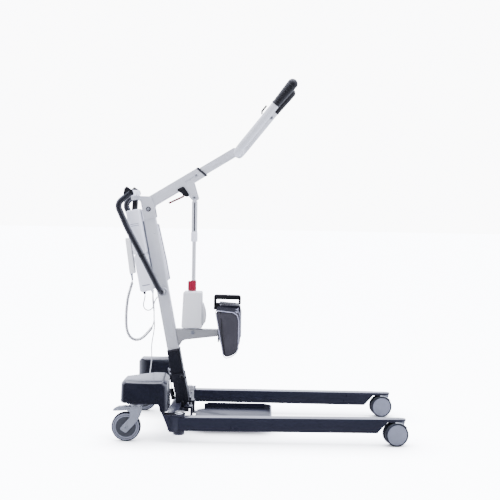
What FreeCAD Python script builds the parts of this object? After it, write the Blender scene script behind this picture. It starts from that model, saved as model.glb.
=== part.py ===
"""Stand-assist patient lift, built as separate pieces. Millimetres.

+X is the patient's side, where the legs point. +Z is up, the floor is Z = 0, and the lift is
symmetric about Y = 0 apart from its electrics. Left is +Y and right is -Y. The mast leans back,
so its pieces are drawn upright in the mast's own frame and then placed. The boom, the patient
arms and the two legs have frames of their own in the same way.
"""

import FreeCAD
import Part
import math
import os
import re
import Sketcher
from FreeCAD import Placement, Rotation, Vector

DRIVING = {
    # chassis
    "rear_wheel_x": -554, "rear_wheel_r": 62.5, "rear_wheel_wide": 28, "rear_trail": 41,
    "rear_track": 632, "front_wheel_x": 586, "front_track": 590, "front_wheel_r": 50,
    "front_wheel_wide": 22, "front_trail": 20, "front_swivel": 9, "pivot_x": -331, "leg_deep": 57, "leg_wide": 50,
    "leg_floor": 52, "leg_rise": 5, "leg_wall": 3, "pin_r": 10, "beam_low": 74, "beam_tall": 36,
    "beam_back": -388, "beam_deep": 44, "plate_low": 46, "plate_wide": 320, "plate_long": 345,
    "plate_back": -283, "plate_rim": 28, "post_x": -317, "post_y": 70, "cover_low": 167,
    "cover_wide": 124, "cover_outer": 350, "crank_back": 36, "crank_in": 44,
    "pedal_x": -30, "pedal_z": 141,
    # mast, in its own frame
    "mast_foot": 66, "mast_lean": 11, "mast_deep": 52, "mast_wide": 54, "mast_top": 900,
    "socket_top": 289, "fold_x": 18, "fold_z": 163, "cheek": 6, "box_wide": 130,
    "latch_x": -36, "latch_z": 166, "latch_travel": 6, "stop_x": -62, "stop_z": 690,
    # boom, in its own frame with the origin at the boom pivot
    "boom_x": -504.707, "boom_z": 979.03, "boom_angle": 31.5, "boom_axis": 22.9, "boom_deep": 51,
    "boom_wide": 50, "inner_deep": 39.4, "slide_gap": 0.6, "inner_start": 110, "inner_end": 474,
    "rod_pin_x": 203.7, "rod_pin_z": -59.3, "lock_x": 176, "lock_z": 2,
    # patient arms
    "arm_x": -108, "arm_z": 1234, "arm_angle": 51.5, "arm_track": 380, "arm_r": 17,
    "arm_long": 372, "arm_bend": 55, "grip_start": 262,
    # actuator and knee pads
    "actuator_x": -300, "motor_pin_z": 427, "spindle_r": 9, "screw_r": 6, "fit": 0.06, "push_r": 13,
    "knee_front": -187, "pad_outer": 200, "pad_inner": 27, "knee_hollow": 62,
    # push handles and cords
    "handle_track": 252, "handle_r": 14, "curl_r": 7.5, "lead_r": 2.5,
}

doc = FreeCAD.newDocument("patient_lift")
dims = doc.addObject("Spreadsheet::Sheet", "dims")
for row, (alias, number) in enumerate(DRIVING.items(), start=1):
    dims.set(f"A{row}", alias)
    dims.set(f"B{row}", str(number))
    dims.setAlias(f"B{row}", alias)
doc.recompute()

nodes = []


# ---------------------------------------------------------------- helpers

def link(text):
    """An expression with each sheet alias pointing at the sheet."""
    return re.sub(r"[a-z]\w*", lambda word: "dims." + word.group(), str(text))


def value(text):
    return float(dims.evalExpression(link(text)))


def bind(item, **sizes):
    for name, text in sizes.items():
        item.setExpression(name, link(text))
    return item


def pin_corner(sketch, line, axis, text):
    """Hold the start of a line at a signed distance from the sketch's origin."""
    kind, zero_axis = {"x": ("DistanceX", -2), "y": ("DistanceY", -1)}[axis]
    distance = value(text)
    if abs(distance) < 1e-6:
        sketch.addConstraint(Sketcher.Constraint("PointOnObject", line, 1, zero_axis))
        return
    index = sketch.addConstraint(Sketcher.Constraint(kind, -1, 1, line, 1, distance))
    if isinstance(text, str):
        sketch.renameConstraint(index, f"{axis}{line}")
        sketch.setExpression(f"Constraints.{axis}{line}", link(text))


def slab(name, outline, wide, plane="XZ"):
    """A flat piece: an outline padded to both sides of its plane."""
    body = doc.addObject("PartDesign::Body", name)
    sketch = body.newObject("Sketcher::SketchObject", name + "_outline")
    support = [item for item in body.Origin.OriginFeatures if item.Role == plane + "_Plane"]
    sketch.AttachmentSupport = (support[0], [""])
    sketch.MapMode = "FlatFace"
    corners = [Vector(value(across), value(up), 0) for across, up in outline]
    for start, end in zip(corners, corners[1:] + corners[:1]):
        sketch.addGeometry(Part.LineSegment(start, end), False)
    for line in range(len(corners)):
        joined = (line + 1) % len(corners)
        sketch.addConstraint(Sketcher.Constraint("Coincident", line, 2, joined, 1))
    for line, (across, up) in enumerate(outline):
        pin_corner(sketch, line, "x", across)
        pin_corner(sketch, line, "y", up)
    pad = body.newObject("PartDesign::Pad", name + "_pad")
    pad.Profile = sketch
    pad.SideType = "Symmetric"
    bind(pad, Length=wide)
    return body


def block(name, x_range, y_range, z_range):
    """A box between two limits on each axis."""
    item = doc.addObject("Part::Box", name)
    sizes = [f"({high}) - ({low})" for low, high in (x_range, y_range, z_range)]
    bind(item, Length=sizes[0], Width=sizes[1], Height=sizes[2])
    item.Placement.Base = Vector(value(x_range[0]), value(y_range[0]), value(z_range[0]))
    return item


def both(half):
    """The limits of something centred on zero."""
    return (f"-({half})", f"({half})")


TURN = {"X": Rotation(Vector(0, 1, 0), 90), "Y": Rotation(Vector(1, 0, 0), -90), "Z": Rotation()}


def rod(name, radius, span, axis="Z", at=(0, 0)):
    """A cylinder along an axis, from span[0] to span[1]; `at` is its place on the other two."""
    item = doc.addObject("Part::Cylinder", name)
    bind(item, Radius=radius, Height=f"({span[1]}) - ({span[0]})")
    start = value(span[0])
    first, second = value(at[0]), value(at[1])
    base = {"X": (start, first, second), "Y": (first, start, second), "Z": (first, second, start)}
    item.Placement = Placement(Vector(*base[axis]), TURN[axis])
    return item


def tube(name, radius, bore, span, axis="Z", at=(0, 0)):
    return cut(name, rod(name + "_solid", radius, span, axis, at),
               rod(name + "_bore", bore, span, axis, at))


def cut(name, base, *tools):
    for index, tool in enumerate(tools):
        item = doc.addObject("Part::Cut", f"{name}_cut{index}")
        item.Base = base
        item.Tool = tool
        base = item
    return base


def fuse(name, *shapes):
    item = doc.addObject("Part::MultiFuse", name + "_fused")
    item.Shapes = list(shapes)
    return item


def group(name, *shapes):
    item = doc.addObject("Part::Compound", name + "_group")
    item.Links = list(shapes)
    return item


def moved(item, x=0, y=0, z=0):
    item.Placement = Placement(Vector(x, y, z), Rotation()) * item.Placement
    return item


def node(label, item, frame=Placement()):
    """Name a finished sub-part and put it where its frame is."""
    item.Placement = frame * item.Placement
    item.Label = label
    nodes.append(item)
    return item


def rounded_path(points, bends):
    """Straight runs joined by tangent arcs, as a wire, with the radii that were used."""
    edges = []
    radii = []
    start = points[0]
    for before, corner, after, bend in zip(points, points[1:], points[2:], bends):
        into = (corner - before).normalize()
        out = (after - corner).normalize()
        half_turn = into.getAngle(out) / 2
        shorter = min((corner - before).Length, (after - corner).Length)
        radius = bend or 0.45 * shorter / math.tan(half_turn)
        trim = radius * math.tan(half_turn)
        arc_start = corner - into * trim
        arc_end = corner + out * trim
        inward = (out - into).normalize()
        centre = corner + inward * (radius / math.cos(half_turn))
        arc_middle = centre - inward * radius
        edges.append(Part.LineSegment(start, arc_start).toShape())
        edges.append(Part.Arc(arc_start, arc_middle, arc_end).toShape())
        radii.append(radius)
        start = arc_end
    edges.append(Part.LineSegment(start, points[-1]).toShape())
    return Part.Wire(edges), radii


def bent_solid(points, radius, bends):
    path, radii = rounded_path(points, bends)
    ring = Part.makeCircle(radius, points[0], points[1] - points[0])
    shape = path.makePipeShell([Part.Wire([ring])], True, True)
    ratio = shape.Volume / (math.pi * radius ** 2 * path.Length)
    return shape, path.Length, radii, ratio


def bent_tube(name, points, radius, bends, wall):
    """A bent metal tube with open ends. Its size is read from the sheet here."""
    item = doc.addObject("Part::Feature", name)
    outer = bent_solid(points, radius, bends)[0]
    item.Shape = outer.cut(bent_solid(points, radius - wall, bends)[0])
    return item


def cord(label, points, radius):
    """A free cord as straight runs and wide tangent arcs."""
    item = doc.addObject("Part::Feature", label)
    route = [Vector(*point) for point in points]
    item.Shape, long, radii, ratio = bent_solid(route, radius, [None] * (len(route) - 2))
    print(f"{label}: {long:.0f} mm, radii {[round(r) for r in radii]}, volume ratio {ratio:.3f}")
    return node(label, item)


# ---------------------------------------------------------------- frames

LEAN = value("mast_lean")
MAST = Placement(Vector(value("pivot_x"), 0, value("mast_foot")),
                 Rotation(Vector(0, 1, 0), -LEAN))
BOOM = Placement(Vector(value("boom_x"), 0, value("boom_z")),
                 Rotation(Vector(0, 1, 0), -value("boom_angle")))
ARM = Placement(Vector(value("arm_x"), 0, value("arm_z")),
                Rotation(Vector(0, 1, 0), 90 - value("arm_angle")))
TOE_IN = math.degrees(math.atan2(value("(rear_track - front_track) / 2"),
                                 value("front_wheel_x - pivot_x")))
SIDES = {"left": 1, "right": -1}


def leg_frame(side):
    """Origin at the leg's pivot on the floor, with x along the leg."""
    return Placement(Vector(value("pivot_x"), side * value("rear_track / 2"), 0),
                     Rotation(Vector(0, 0, 1), -side * TOE_IN))


# ---------------------------------------------------------------- chassis

def cross_beam():
    """The square tube between the two sides, with the stubs and posts for the footplate."""
    x_range = ("beam_back", "beam_back + beam_deep")
    z_range = ("beam_low", "beam_low + beam_tall")
    tube_wall = 4
    outer = block("beam_outer", x_range, both("rear_track / 2 - leg_wide / 2"), z_range)
    inner = block("beam_inner", (f"beam_back + {tube_wall}", f"beam_back + beam_deep - {tube_wall}"),
                  both("rear_track / 2"), (f"beam_low + {tube_wall}",
                                           f"beam_low + beam_tall - {tube_wall}"))
    posts = []
    for name, side in SIDES.items():
        y_range = (f"{side} * post_y - 10", f"{side} * post_y + 10")
        posts.append(block(f"stub_{name}", ("beam_back + beam_deep", "post_x + 9"), y_range,
                           (80, 95)))
        posts.append(block(f"post_{name}", ("post_x", "post_x + 9"), y_range, (95, 118)))
    node("cross_beam", fuse("beam", cut("beam", outer, inner), *posts))


def rear_arm(name, side):
    """The side of the chassis: over the rear castor, then down to a fork for the leg."""
    web_back = "pivot_x - 27"
    web = slab(f"arm_web_{name}", [(-548, 161), (-417, 161), (-370, 46), (web_back, 46),
                                   (web_back, 119), (-392, 119), (-392, 200), (-548, 200)],
               "leg_wide")
    moved(web, y=side * value("rear_track / 2"))
    y_range = (f"{side} * rear_track / 2 - leg_wide / 2", f"{side} * rear_track / 2 + leg_wide / 2")
    x_range = (web_back, "pivot_x + 25")
    floor = block(f"fork_floor_{name}", x_range, y_range, (46, 51))
    roof = block(f"fork_roof_{name}", x_range, y_range, (111, 119))
    at = ("pivot_x", f"{side} * rear_track / 2")
    neck_hole = rod(f"neck_hole_{name}", 15.6, (40, 55), "Z", at)
    pin_hole = rod(f"pin_hole_{name}", "pin_r", (105, 125), "Z", at)
    king_hole = rod(f"king_hole_{name}", 6.06, (150, 190), "Z",
                    ("rear_wheel_x + rear_trail", f"{side} * rear_track / 2"))
    solid = fuse(f"rear_arm_{name}", web, floor, roof)
    node(f"rear_arm_{name}", cut(f"rear_arm_{name}", solid, neck_hole, pin_hole, king_hole))


def leg_pivot_pins():
    """Both leg pins with their washers and domed nuts."""
    pieces = []
    for name, side in SIDES.items():
        at = ("pivot_x", f"{side} * rear_track / 2")
        pieces.append(fuse(f"pivot_{name}", rod(f"pivot_pin_{name}", "pin_r", (33, 122), "Z", at),
                           rod(f"pivot_washer_{name}", 16, (119, 122), "Z", at),
                           rod(f"pivot_nut_{name}", 10, (122, 129), "Z", at)))
    node("leg_pivot_pins", group("pivot_pins", *pieces))


def rear_cover(name, side):
    """A moulded cover, open underneath, that comes down in front of the chassis side."""
    outer = slab(f"cover_outer_{name}",
                 [(-578, "cover_low"), (-575, 250), (-562, 263), (-445, 280), (-397, 280),
                  (-380, 264), (-375, 131), (-396, 131), (-402, "cover_low")], "cover_wide")
    inner = slab(f"cover_inner_{name}",
                 [(-575, 100), (-572, 248), (-560, 260), (-445, 277), (-398, 277), (-383, 262),
                  (-378, 100)], "cover_wide - 6")
    slopes = []
    for layer, height in (("top", 280), ("lining", 277)):
        slope = block(f"cover_slope_{layer}_{name}", (-620, -340), both(220), (0, 80))
        slope.Placement = Placement(Vector(0, -side * value("cover_wide / 2"), height),
                                    Rotation(Vector(1, 0, 0), -side * 10)) * slope.Placement
        slopes.append(slope)
    outer = cut(f"cover_top_{name}", outer, slopes[0])
    inner = cut(f"cover_lining_{name}", inner, slopes[1])
    boss_at = (-470, "rear_track / 2 - cover_outer + cover_wide / 2")
    boss = rod(f"cover_boss_{name}", 8, (200, 265), "Z",
               (boss_at[0], f"{side} * ({boss_at[1]})"))
    shell = fuse(f"cover_shell_{name}", cut(f"rear_cover_{name}", outer, inner), boss)
    moved(shell, y=side * value("cover_outer - cover_wide / 2"))
    if side > 0:
        node(f"rear_cover_{name}", shell)
        return
    gland_end = value("cover_outer - cover_wide")
    gland = rod("cover_gland", 7, (-gland_end, -gland_end + 8), "Y", (-471, 262))
    node(f"rear_cover_{name}", fuse(f"rear_cover_{name}", shell, gland))


def mast_foot():
    """A folded bracket on the beam: two cheeks with the mast's folding pin through them."""
    outline = [(-27, 14), (-27, 178), (30, 178), (31, 105), (29, 52), (8, 14)]
    outer = slab("foot_outer", outline, "mast_wide + 21")
    upper = slab("foot_upper", [(-60, 146), (-60, 200), (60, 200), (60, 146)], "mast_wide + 9")
    lower = slab("foot_lower", [(-21, 22), (-21, 150), (25, 150), (25, 105), (23, 55), (5, 22)],
                 "mast_wide + 9")
    seat = block("foot_seat", ("beam_back - 10", "beam_back + beam_deep"), both(60),
                 ("beam_low - 10", "beam_low + beam_tall"))
    seat.Placement = MAST.inverse() * seat.Placement
    folding_pin = rod("folding_pin", 6, both("mast_wide / 2 + 14"), "Y", ("fold_x", "fold_z"))
    bracket = cut("mast_foot", outer, upper, lower, seat)
    latch_pin = rod("latch_pin", 3, both(9), "Y", ("latch_x", "latch_z"))
    latch_lug = block("latch_lug", (-40, -30.4), (9, 14), (140, 172))
    latch_lug_low = block("latch_lug_low", (-40, -30.4), (-14, -9), (140, 172))
    latch_bridge = block("latch_bridge", (-33, -26.5), both(14), (138, 146))
    node("mast_foot", fuse("mast_foot", bracket, folding_pin, latch_pin, latch_lug,
                           latch_lug_low, latch_bridge), MAST)


def spread_actuator():
    """The motor under the beam that opens the legs, and its rod, between the leg cranks."""
    pin_x = value("pivot_x - crank_back")
    pin_y = value("rear_track / 2 - crank_in")
    housing = block("spread_housing", (pin_x - 18, pin_x + 18), (-pin_y + 18, -20), (34, 70))
    neck = block("spread_neck", (pin_x - 8, pin_x + 8), (-pin_y + 6, -pin_y + 18), (46, 60))
    eye = rod("spread_eye", 12, (46, 60), "Z", (pin_x, -pin_y))
    hole = rod("spread_hole", 6.06, (40, 65), "Z", (pin_x, -pin_y))
    bore = rod("spread_bore", "6 + fit", (-236, 0), "Y", (pin_x, 53))
    node("spread_motor", cut("spread_motor", fuse("spread_motor", housing, neck, eye), hole, bore))
    rod_bar = rod("spread_bar", 6, (-220, pin_y - 10), "Y", (pin_x, 53))
    rod_eye = rod("spread_rod_eye", 12, (46, 60), "Z", (pin_x, pin_y))
    rod_hole = rod("spread_rod_hole", 7.8, (40, 65), "Z", (pin_x, pin_y))
    node("spread_rod", cut("spread_rod", fuse("spread_rod", rod_bar, rod_eye), rod_hole))


# ---------------------------------------------------------------- legs and castors

def leg(name, side):
    """A tapered tube with a plate for its castor, a pivot bush and the crank below it."""
    end_x = value("front_wheel_x - pivot_x") / math.cos(math.radians(TOE_IN))
    tip = end_x + 43
    floor, top = "leg_floor", "leg_floor + leg_deep"
    outer = slab(f"leg_outer_{name}",
                 [(0, floor), (end_x - 79, "leg_floor + leg_rise"), (end_x - 46, 92),
                  (end_x - 46, 115), (0, top)], "leg_wide")
    inner = slab(f"leg_inner_{name}",
                 [(40, "leg_floor + leg_wall"), (end_x - 81, "leg_floor + leg_rise + leg_wall"),
                  (end_x - 60, 83), (end_x - 60, 110), (40, "leg_floor + leg_deep - leg_wall")],
                 "leg_wide - 2 * leg_wall")
    vent = rod(f"leg_vent_{name}", 4, (40, 60), "Z", (120, 0))
    bush = rod(f"leg_bush_{name}", "leg_wide / 2", (floor, top))
    neck = rod(f"leg_neck_{name}", 15.5, (45, floor))
    stub = rod(f"leg_stub_{name}", 24.5, (33, 45.4))
    crank_pin_at = Vector(-value("crank_back"), -side * value("crank_in"), 0)
    turn_back = Rotation(Vector(0, 0, 1), side * TOE_IN)
    at = turn_back.multVec(crank_pin_at)
    crank_end = rod(f"crank_end_{name}", 12, (35, 43), "Z", (at.x, at.y))
    crank_arm = block(f"crank_arm_{name}", (0, at.Length), (-12, 12), (35, 43))
    crank_arm.Placement.Base = Vector()
    angle = math.degrees(math.atan2(at.y, at.x))
    crank_arm.Placement = (Placement(Vector(0, 0, 35), Rotation(Vector(0, 0, 1), angle))
                           * Placement(Vector(0, -12, 0), Rotation()))
    crank_pin = rod(f"crank_pin_{name}", 6, (43, 64), "Z", (at.x, at.y))
    plate = block(f"leg_plate_{name}", (end_x - 50, tip - 23), (-23, 23), (109.4, 115))
    plate_end = rod(f"leg_plate_end_{name}", 23, (109.4, 115), "Z", (tip - 23, 0))
    stem_hole = rod(f"stem_hole_{name}", 5.56, (100, 120), "Z", (end_x + 20, 0))
    bore = rod(f"leg_bore_{name}", "pin_r + fit", (20, 130))
    solid = fuse(f"leg_{name}", cut(f"leg_tube_{name}", outer, inner), bush, neck, stub, crank_end,
                 crank_arm, crank_pin, plate, plate_end)
    node(f"leg_{name}", cut(f"leg_{name}", solid, vent, stem_hole, bore), leg_frame(side))
    swivel = Rotation(Vector(0, 0, 1), value("front_swivel"))
    front_castor(name, leg_frame(side) * Placement(Vector(end_x + 20, 0, 0), swivel))


def front_castor(name, frame):
    """A twin-wheel castor about its swivel stem, which trails the wheels behind it."""
    trail = "-front_trail"
    fin = slab(f"hood_fin_{name}", [(-32, 42), (-6, 42), (14, 88), (20, 103.5), (-16, 103.5), (-40, 70)],
               13)
    visor = slab(f"hood_visor_{name}", [(14, 93), (25, 80), (25, 103.5), (0, 103.5), (2, 101.5)],
                 46)
    bearing = rod(f"hood_bearing_{name}", 20, (101.5, 109))
    stem = rod(f"hood_stem_{name}", 5.5, (105, 114.8))
    axle = rod(f"hood_axle_{name}", 5, both(29), "Y", (trail, "front_wheel_r"))
    node(f"front_castor_hood_{name}", fuse(f"hood_{name}", fin, visor, bearing, stem, axle), frame)
    for place, wheel_side in (("outer", 1), ("inner", -1)):
        toward = wheel_side * SIDES[name]
        near, far = 8 * toward, (value("front_wheel_wide") + 8) * toward
        span = (min(near, far), max(near, far))
        wheel = rod(f"twin_wheel_{place}_{name}", "front_wheel_r", span, "Y",
                    (trail, "front_wheel_r"))
        bore = rod(f"twin_bore_{place}_{name}", "5 + fit", span, "Y", (trail, "front_wheel_r"))
        node(f"front_wheel_{place}_{name}", cut(f"twin_{place}_{name}", wheel, bore), frame)


def rear_castor(name, side):
    """A braked single-wheel castor about its kingpin."""
    frame = Placement(Vector(value("rear_wheel_x + rear_trail"), side * value("rear_track / 2"), 0),
                      Rotation())
    axle_at = ("-rear_trail", "rear_wheel_r")
    blades = slab(f"fork_blades_{name}", [(-37, 150), (23, 152), (23, 128), (13, 106),
                                          (-39.4, 43.5), (-59.8, 59.5), (-22, 108), (-37, 130)], 41)
    gap = slab(f"fork_gap_{name}", [(-90, 30), (60, 30), (60, 127), (-22, 127), (-22, 160),
                                    (-90, 160)], 33)
    pedal_pin = rod(f"pedal_pin_{name}", 3, both(20.5), "Y", ("pedal_x", "pedal_z"))
    flange = rod(f"fork_flange_{name}", 27, (152, 160.6))
    kingpin = rod(f"fork_kingpin_{name}", 6, (155, 186))
    axle = rod(f"fork_axle_{name}", 5, both(24), "Y", axle_at)
    fork = fuse(f"rear_fork_{name}", cut(f"fork_{name}", blades, gap), flange, kingpin, axle,
                pedal_pin)
    node(f"rear_castor_fork_{name}", fork, frame)
    node(f"rear_wheel_{name}", tube(f"rear_wheel_{name}", "rear_wheel_r", "5 + fit",
                                    both("rear_wheel_wide / 2"), "Y", axle_at), frame)
    pedal = slab(f"pedal_{name}", [(-24, 149), (-24, 134), (-60, 131), (-96, 129), (-97, 136),
                                   (-75, 147), (-46, 151)], 32)
    pedal_hole = rod(f"pedal_hole_{name}", "3 + fit", both(30), "Y", ("pedal_x", "pedal_z"))
    node(f"brake_pedal_{name}", cut(f"pedal_{name}", pedal, pedal_hole), frame)


# ---------------------------------------------------------------- footplate

def footplate():
    """A shallow tray that hooks over the two posts and lifts off."""
    front = "plate_back + plate_long"
    tray = slab("tray", [("plate_back", "-plate_wide / 2 + 45"), ("plate_back + 45", "-plate_wide / 2"),
                         (f"{front} - 30", "-plate_wide / 2"), (front, "-plate_wide / 2 + 30"),
                         (front, "plate_wide / 2 - 30"), (f"{front} - 30", "plate_wide / 2"),
                         ("plate_back + 45", "plate_wide / 2"),
                         ("plate_back", "plate_wide / 2 - 45")], "plate_rim * 2", "XY")
    below = block("tray_below", (-400, 200), both(250), (-80, 0))
    hollow = slab("tray_hollow", [("plate_back - 20", "-plate_wide / 2 + 45"),
                                  ("plate_back + 46", "-plate_wide / 2 + 5"),
                                  (f"{front} - 32", "-plate_wide / 2 + 5"),
                                  (f"{front} - 5", "-plate_wide / 2 + 32"),
                                  (f"{front} - 5", "plate_wide / 2 - 32"),
                                  (f"{front} - 32", "plate_wide / 2 - 5"),
                                  ("plate_back + 46", "plate_wide / 2 - 5"),
                                  ("plate_back - 20", "plate_wide / 2 - 45")],
                  "plate_rim * 2", "XY")
    moved(hollow, z=value("plate_rim") + 5)
    shell = cut("footplate", tray, below, hollow)
    moved(shell, z=value("plate_low"))
    pieces = [shell]
    slots = []
    for name, side in SIDES.items():
        y_range = (f"{side} * post_y - 20", f"{side} * post_y + 20")
        pieces.append(block(f"upstand_{name}", ("post_x + 17", "post_x + 25"), y_range, (46, 106)))
        pieces.append(block(f"lug_{name}", ("post_x - 10", "post_x + 20"), y_range, (96, 106)))
        pieces.append(block(f"foot_{name}", ("post_x + 17", "plate_back + 20"), y_range, (46, 51)))
        slots.append(block(f"slot_{name}", ("post_x - 0.5", "post_x + 9.5"),
                           (f"{side} * post_y - 10.5", f"{side} * post_y + 10.5"), (90, 112)))
    node("footplate", cut("footplate_slots", fuse("footplate", *pieces), *slots))


# ---------------------------------------------------------------- mast

def mast():
    """The socket that folds on the foot, the tube in it, and the head with the boom pivot."""
    half_wide = "mast_wide / 2"
    socket = block("socket_outer", (-28, 28), both(f"{half_wide} + 4"), (150, "socket_top"))
    seat = block("socket_seat", both("mast_deep / 2"), both(half_wide), (180, "socket_top + 5"))
    pin_hole = rod("socket_pin_hole", 6.06, both(60), "Y", ("fold_x", "fold_z"))
    catch = block("socket_catch", (-37, -27), (-6, 6), (192, 200))
    socket = fuse("socket", cut("mast_socket", socket, seat, pin_hole), catch)
    node("mast_socket", socket, MAST)
    outer = block("mast_outer", both("mast_deep / 2"), both(half_wide), (180, "mast_top"))
    inner = block("mast_inner", both("mast_deep / 2 - 3"), both(f"{half_wide} - 3"),
                  (170, "mast_top + 10"))
    duct = slab("mast_duct", [(24, 596), (41, 602), (41, 690), (35, 856), (24, 862)], 32)
    node("mast_tube", fuse("mast_tube", cut("mast_tube", outer, inner), duct), MAST)

    outline = [(-25, 886), (31, 886), (31, 945), (24, 980), (10, 987), (-14, 992), (-36, 998),
               (-38, 1024), (-62, 1024), (-64, 980), (-36, 980), (-25, 968)]
    cheeks = slab("head_outer", outline, "mast_wide + 2 * cheek")
    gap = block("head_gap", (-80, 60), both(half_wide), (870, 1040))
    saddle = block("head_saddle", (-26, 26), both(half_wide), ("mast_top", "mast_top + 4"))
    bolt = rod("boom_bolt", 8, both(f"{half_wide} + 6"), "Y", (3.7, 929.4))
    heads = [rod("bolt_head_left", 11, (33, 37), "Y", (3.7, 929.4)),
             rod("bolt_head_right", 11, (-37, -33), "Y", (3.7, 929.4))]
    crossbar = block("handle_crossbar", (-62, -38), both("handle_track / 2 - handle_r"),
                     (998, 1024))
    node("mast_head", fuse("mast_head", cut("head", cheeks, gap), saddle, bolt, crossbar, *heads),
         MAST)


def push_handle(name, side):
    """A bent tube from the mast's side up and back, round to the crossbar, with its end cap."""
    out = side * value("handle_track / 2")
    mast_side = side * value("mast_wide / 2")
    route = [Vector(-433, mast_side, 612), Vector(-433, out, 612), Vector(-584, out, 894),
             Vector(-632, out, 1001), Vector(-573, out, 1051)]
    item = bent_tube(f"handle_tube_{name}", route, value("handle_r"), [40, 900, 38], 2)
    cap = slab(f"handle_cap_{name}", [(-604, 1043.8), (-600, 1068), (-590, 1079), (-562, 1060),
                                      (-560, 1044), (-563.5, 1040.6), (-581.8, 1062.2)], 20)
    moved(cap, y=out)
    node(f"push_handle_{name}", group(f"handle_{name}", item, cap))


def control_box():
    """The control unit on the mast, its rail for the battery, and its cable glands."""
    half = "box_wide / 2"
    unit = block("unit", (-95, -33), both(half), (570, 735))
    stop_well = rod("stop_well", 8.3, (58, 70), "Y", ("stop_x", "stop_z"))
    rail = block("battery_rail", (-33, "-mast_deep / 2"), both(20), (580, 880))
    glands = [rod("gland_handset", 6, (556, 570), "Z", (-42, -45)),
              rod("gland_spread", 6, (556, 570), "Z", (-40, -58)),
              rod("gland_lift", 7, (552, 570), "Z", (-80, -30))]
    node("control_box", fuse("control_box", cut("unit", unit, stop_well), rail, *glands), MAST)


def battery():
    """The battery pack, which lifts up its rail by the bail handle on its top."""
    half = "box_wide / 2"
    pack = block("pack", (-95, -33.4), both(half), (736, 938))
    bail = slab("bail_outer", [(-73, 936), (-60, 981), (-39, 981), (-51, 936)], 52)
    window = block("bail_window", (-90, -30), both(18), (938, 968))
    node("battery_pack", fuse("battery_pack", pack, cut("bail", bail, window)), MAST)


HANDSET = Placement(Vector(-582, -30, 770), Rotation(Vector(0, 1, 0), -8))


def handset():
    """The hand control on the back of the battery, its two keys and the stop button."""
    body = block("handset_body", (-11, 11), (-29, 29), (-80, 80))
    wells = [rod("well_up", 8.3, (-13, -7), "X", (0, 30)),
             rod("well_down", 8.3, (-13, -7), "X", (0, 0))]
    relief = rod("handset_relief", 5, (-92, -80), "Z", (-6, 0))
    node("handset", fuse("handset", cut("handset", body, *wells), relief), HANDSET)
    node("key_up", rod("key_up_cap", 8, (-12.5, -8.7), "X", (0, 30)), HANDSET)
    node("key_down", rod("key_down_cap", 8, (-12.5, -8.7), "X", (0, 0)), HANDSET)
    node("emergency_stop", fuse("emergency_stop",
                                rod("stop_stem", 8, (63, 72), "Y", ("stop_x", "stop_z")),
                                rod("stop_cap", 14, (70, 80), "Y", ("stop_x", "stop_z"))), MAST)


def fold_latch():
    """A sprung finger at the back of the foot, with two wires and a ribbed pull below it."""
    hook = slab("latch_hook", [(-41, 158), (-41, 206), (-37.6, 206), (-37.6, 182), (-32, 180),
                               (-32, 158)], 12)
    slot = [rod("latch_slot_low", 3.06, both(20), "Y", ("latch_x", "latch_z")),
            rod("latch_slot_high", 3.06, both(20), "Y", ("latch_x", "latch_z + latch_travel")),
            block("latch_slot", ("latch_x - 3.06", "latch_x + 3.06"), both(20),
                  ("latch_z", "latch_z + latch_travel"))]
    wires = [rod("latch_wire_left", 1.5, (110, 160), "Z", (-39, 4)),
             rod("latch_wire_right", 1.5, (110, 160), "Z", (-39, -4))]
    pull = rod("latch_pull", 10, (62, 112), "Z", (-42, 0))
    node("fold_latch", fuse("fold_latch", cut("hook", hook, *slot), *wires, pull), MAST)


# ---------------------------------------------------------------- boom and patient arms

def boom():
    """The outer boom with its heel round the pivot and the bracket for the actuator."""
    low = "boom_axis - boom_deep / 2"
    high = "boom_axis + boom_deep / 2"
    outer = slab("boom_outer", [(-8, high), (-16, 20), (-16, -8), (-8, -16), (20, -16), (34, low),
                                (301, low), (283, high)], "boom_wide")
    half_bore = "inner_deep / 2 + slide_gap"
    bore = block("boom_bore", (60, 320), both(half_bore),
                 (f"boom_axis - ({half_bore})", f"boom_axis + ({half_bore})"))
    pivot = rod("boom_pivot_hole", 8.06, both(40), "Y")
    cheeks = slab("bracket_outer", [(188, low), (236, low), (225, -42), (217, -74), (190, -76),
                                    (184, -44)], "boom_wide")
    gap = block("bracket_gap", (150, 260), both(20.5), (-90, low))
    bolts = [rod("bracket_bolt_left", 8, (25, 31), "Y", ("rod_pin_x", "rod_pin_z")),
             rod("bracket_bolt_right", 8, (-31, -25), "Y", ("rod_pin_x", "rod_pin_z"))]
    stud = rod("lock_stud", 3, (-32, -25), "Y", ("lock_x", "lock_z"))
    node("boom_tube", fuse("boom_tube", cut("boom", outer, bore, pivot),
                           cut("bracket", cheeks, gap), *bolts, stud), BOOM)
    paddle = slab("paddle", [(152, 11), (182, 9), (188, 3), (190, -36), (184, -42), (176, -42),
                             (167, -30), (159, -8)], 6)
    moved(paddle, y=-28.4)
    strip = slab("strip", [(92, -19), (92, -28), (160, -35), (172, -32), (172, -24), (160, -26)], 14)
    moved(strip, y=-24.4)
    eye = rod("lock_eye", "3 + fit", (-40, -20), "Y", ("lock_x", "lock_z"))
    node("boom_lock", cut("boom_lock", fuse("boom_lock", paddle, strip), eye), BOOM)


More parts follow.
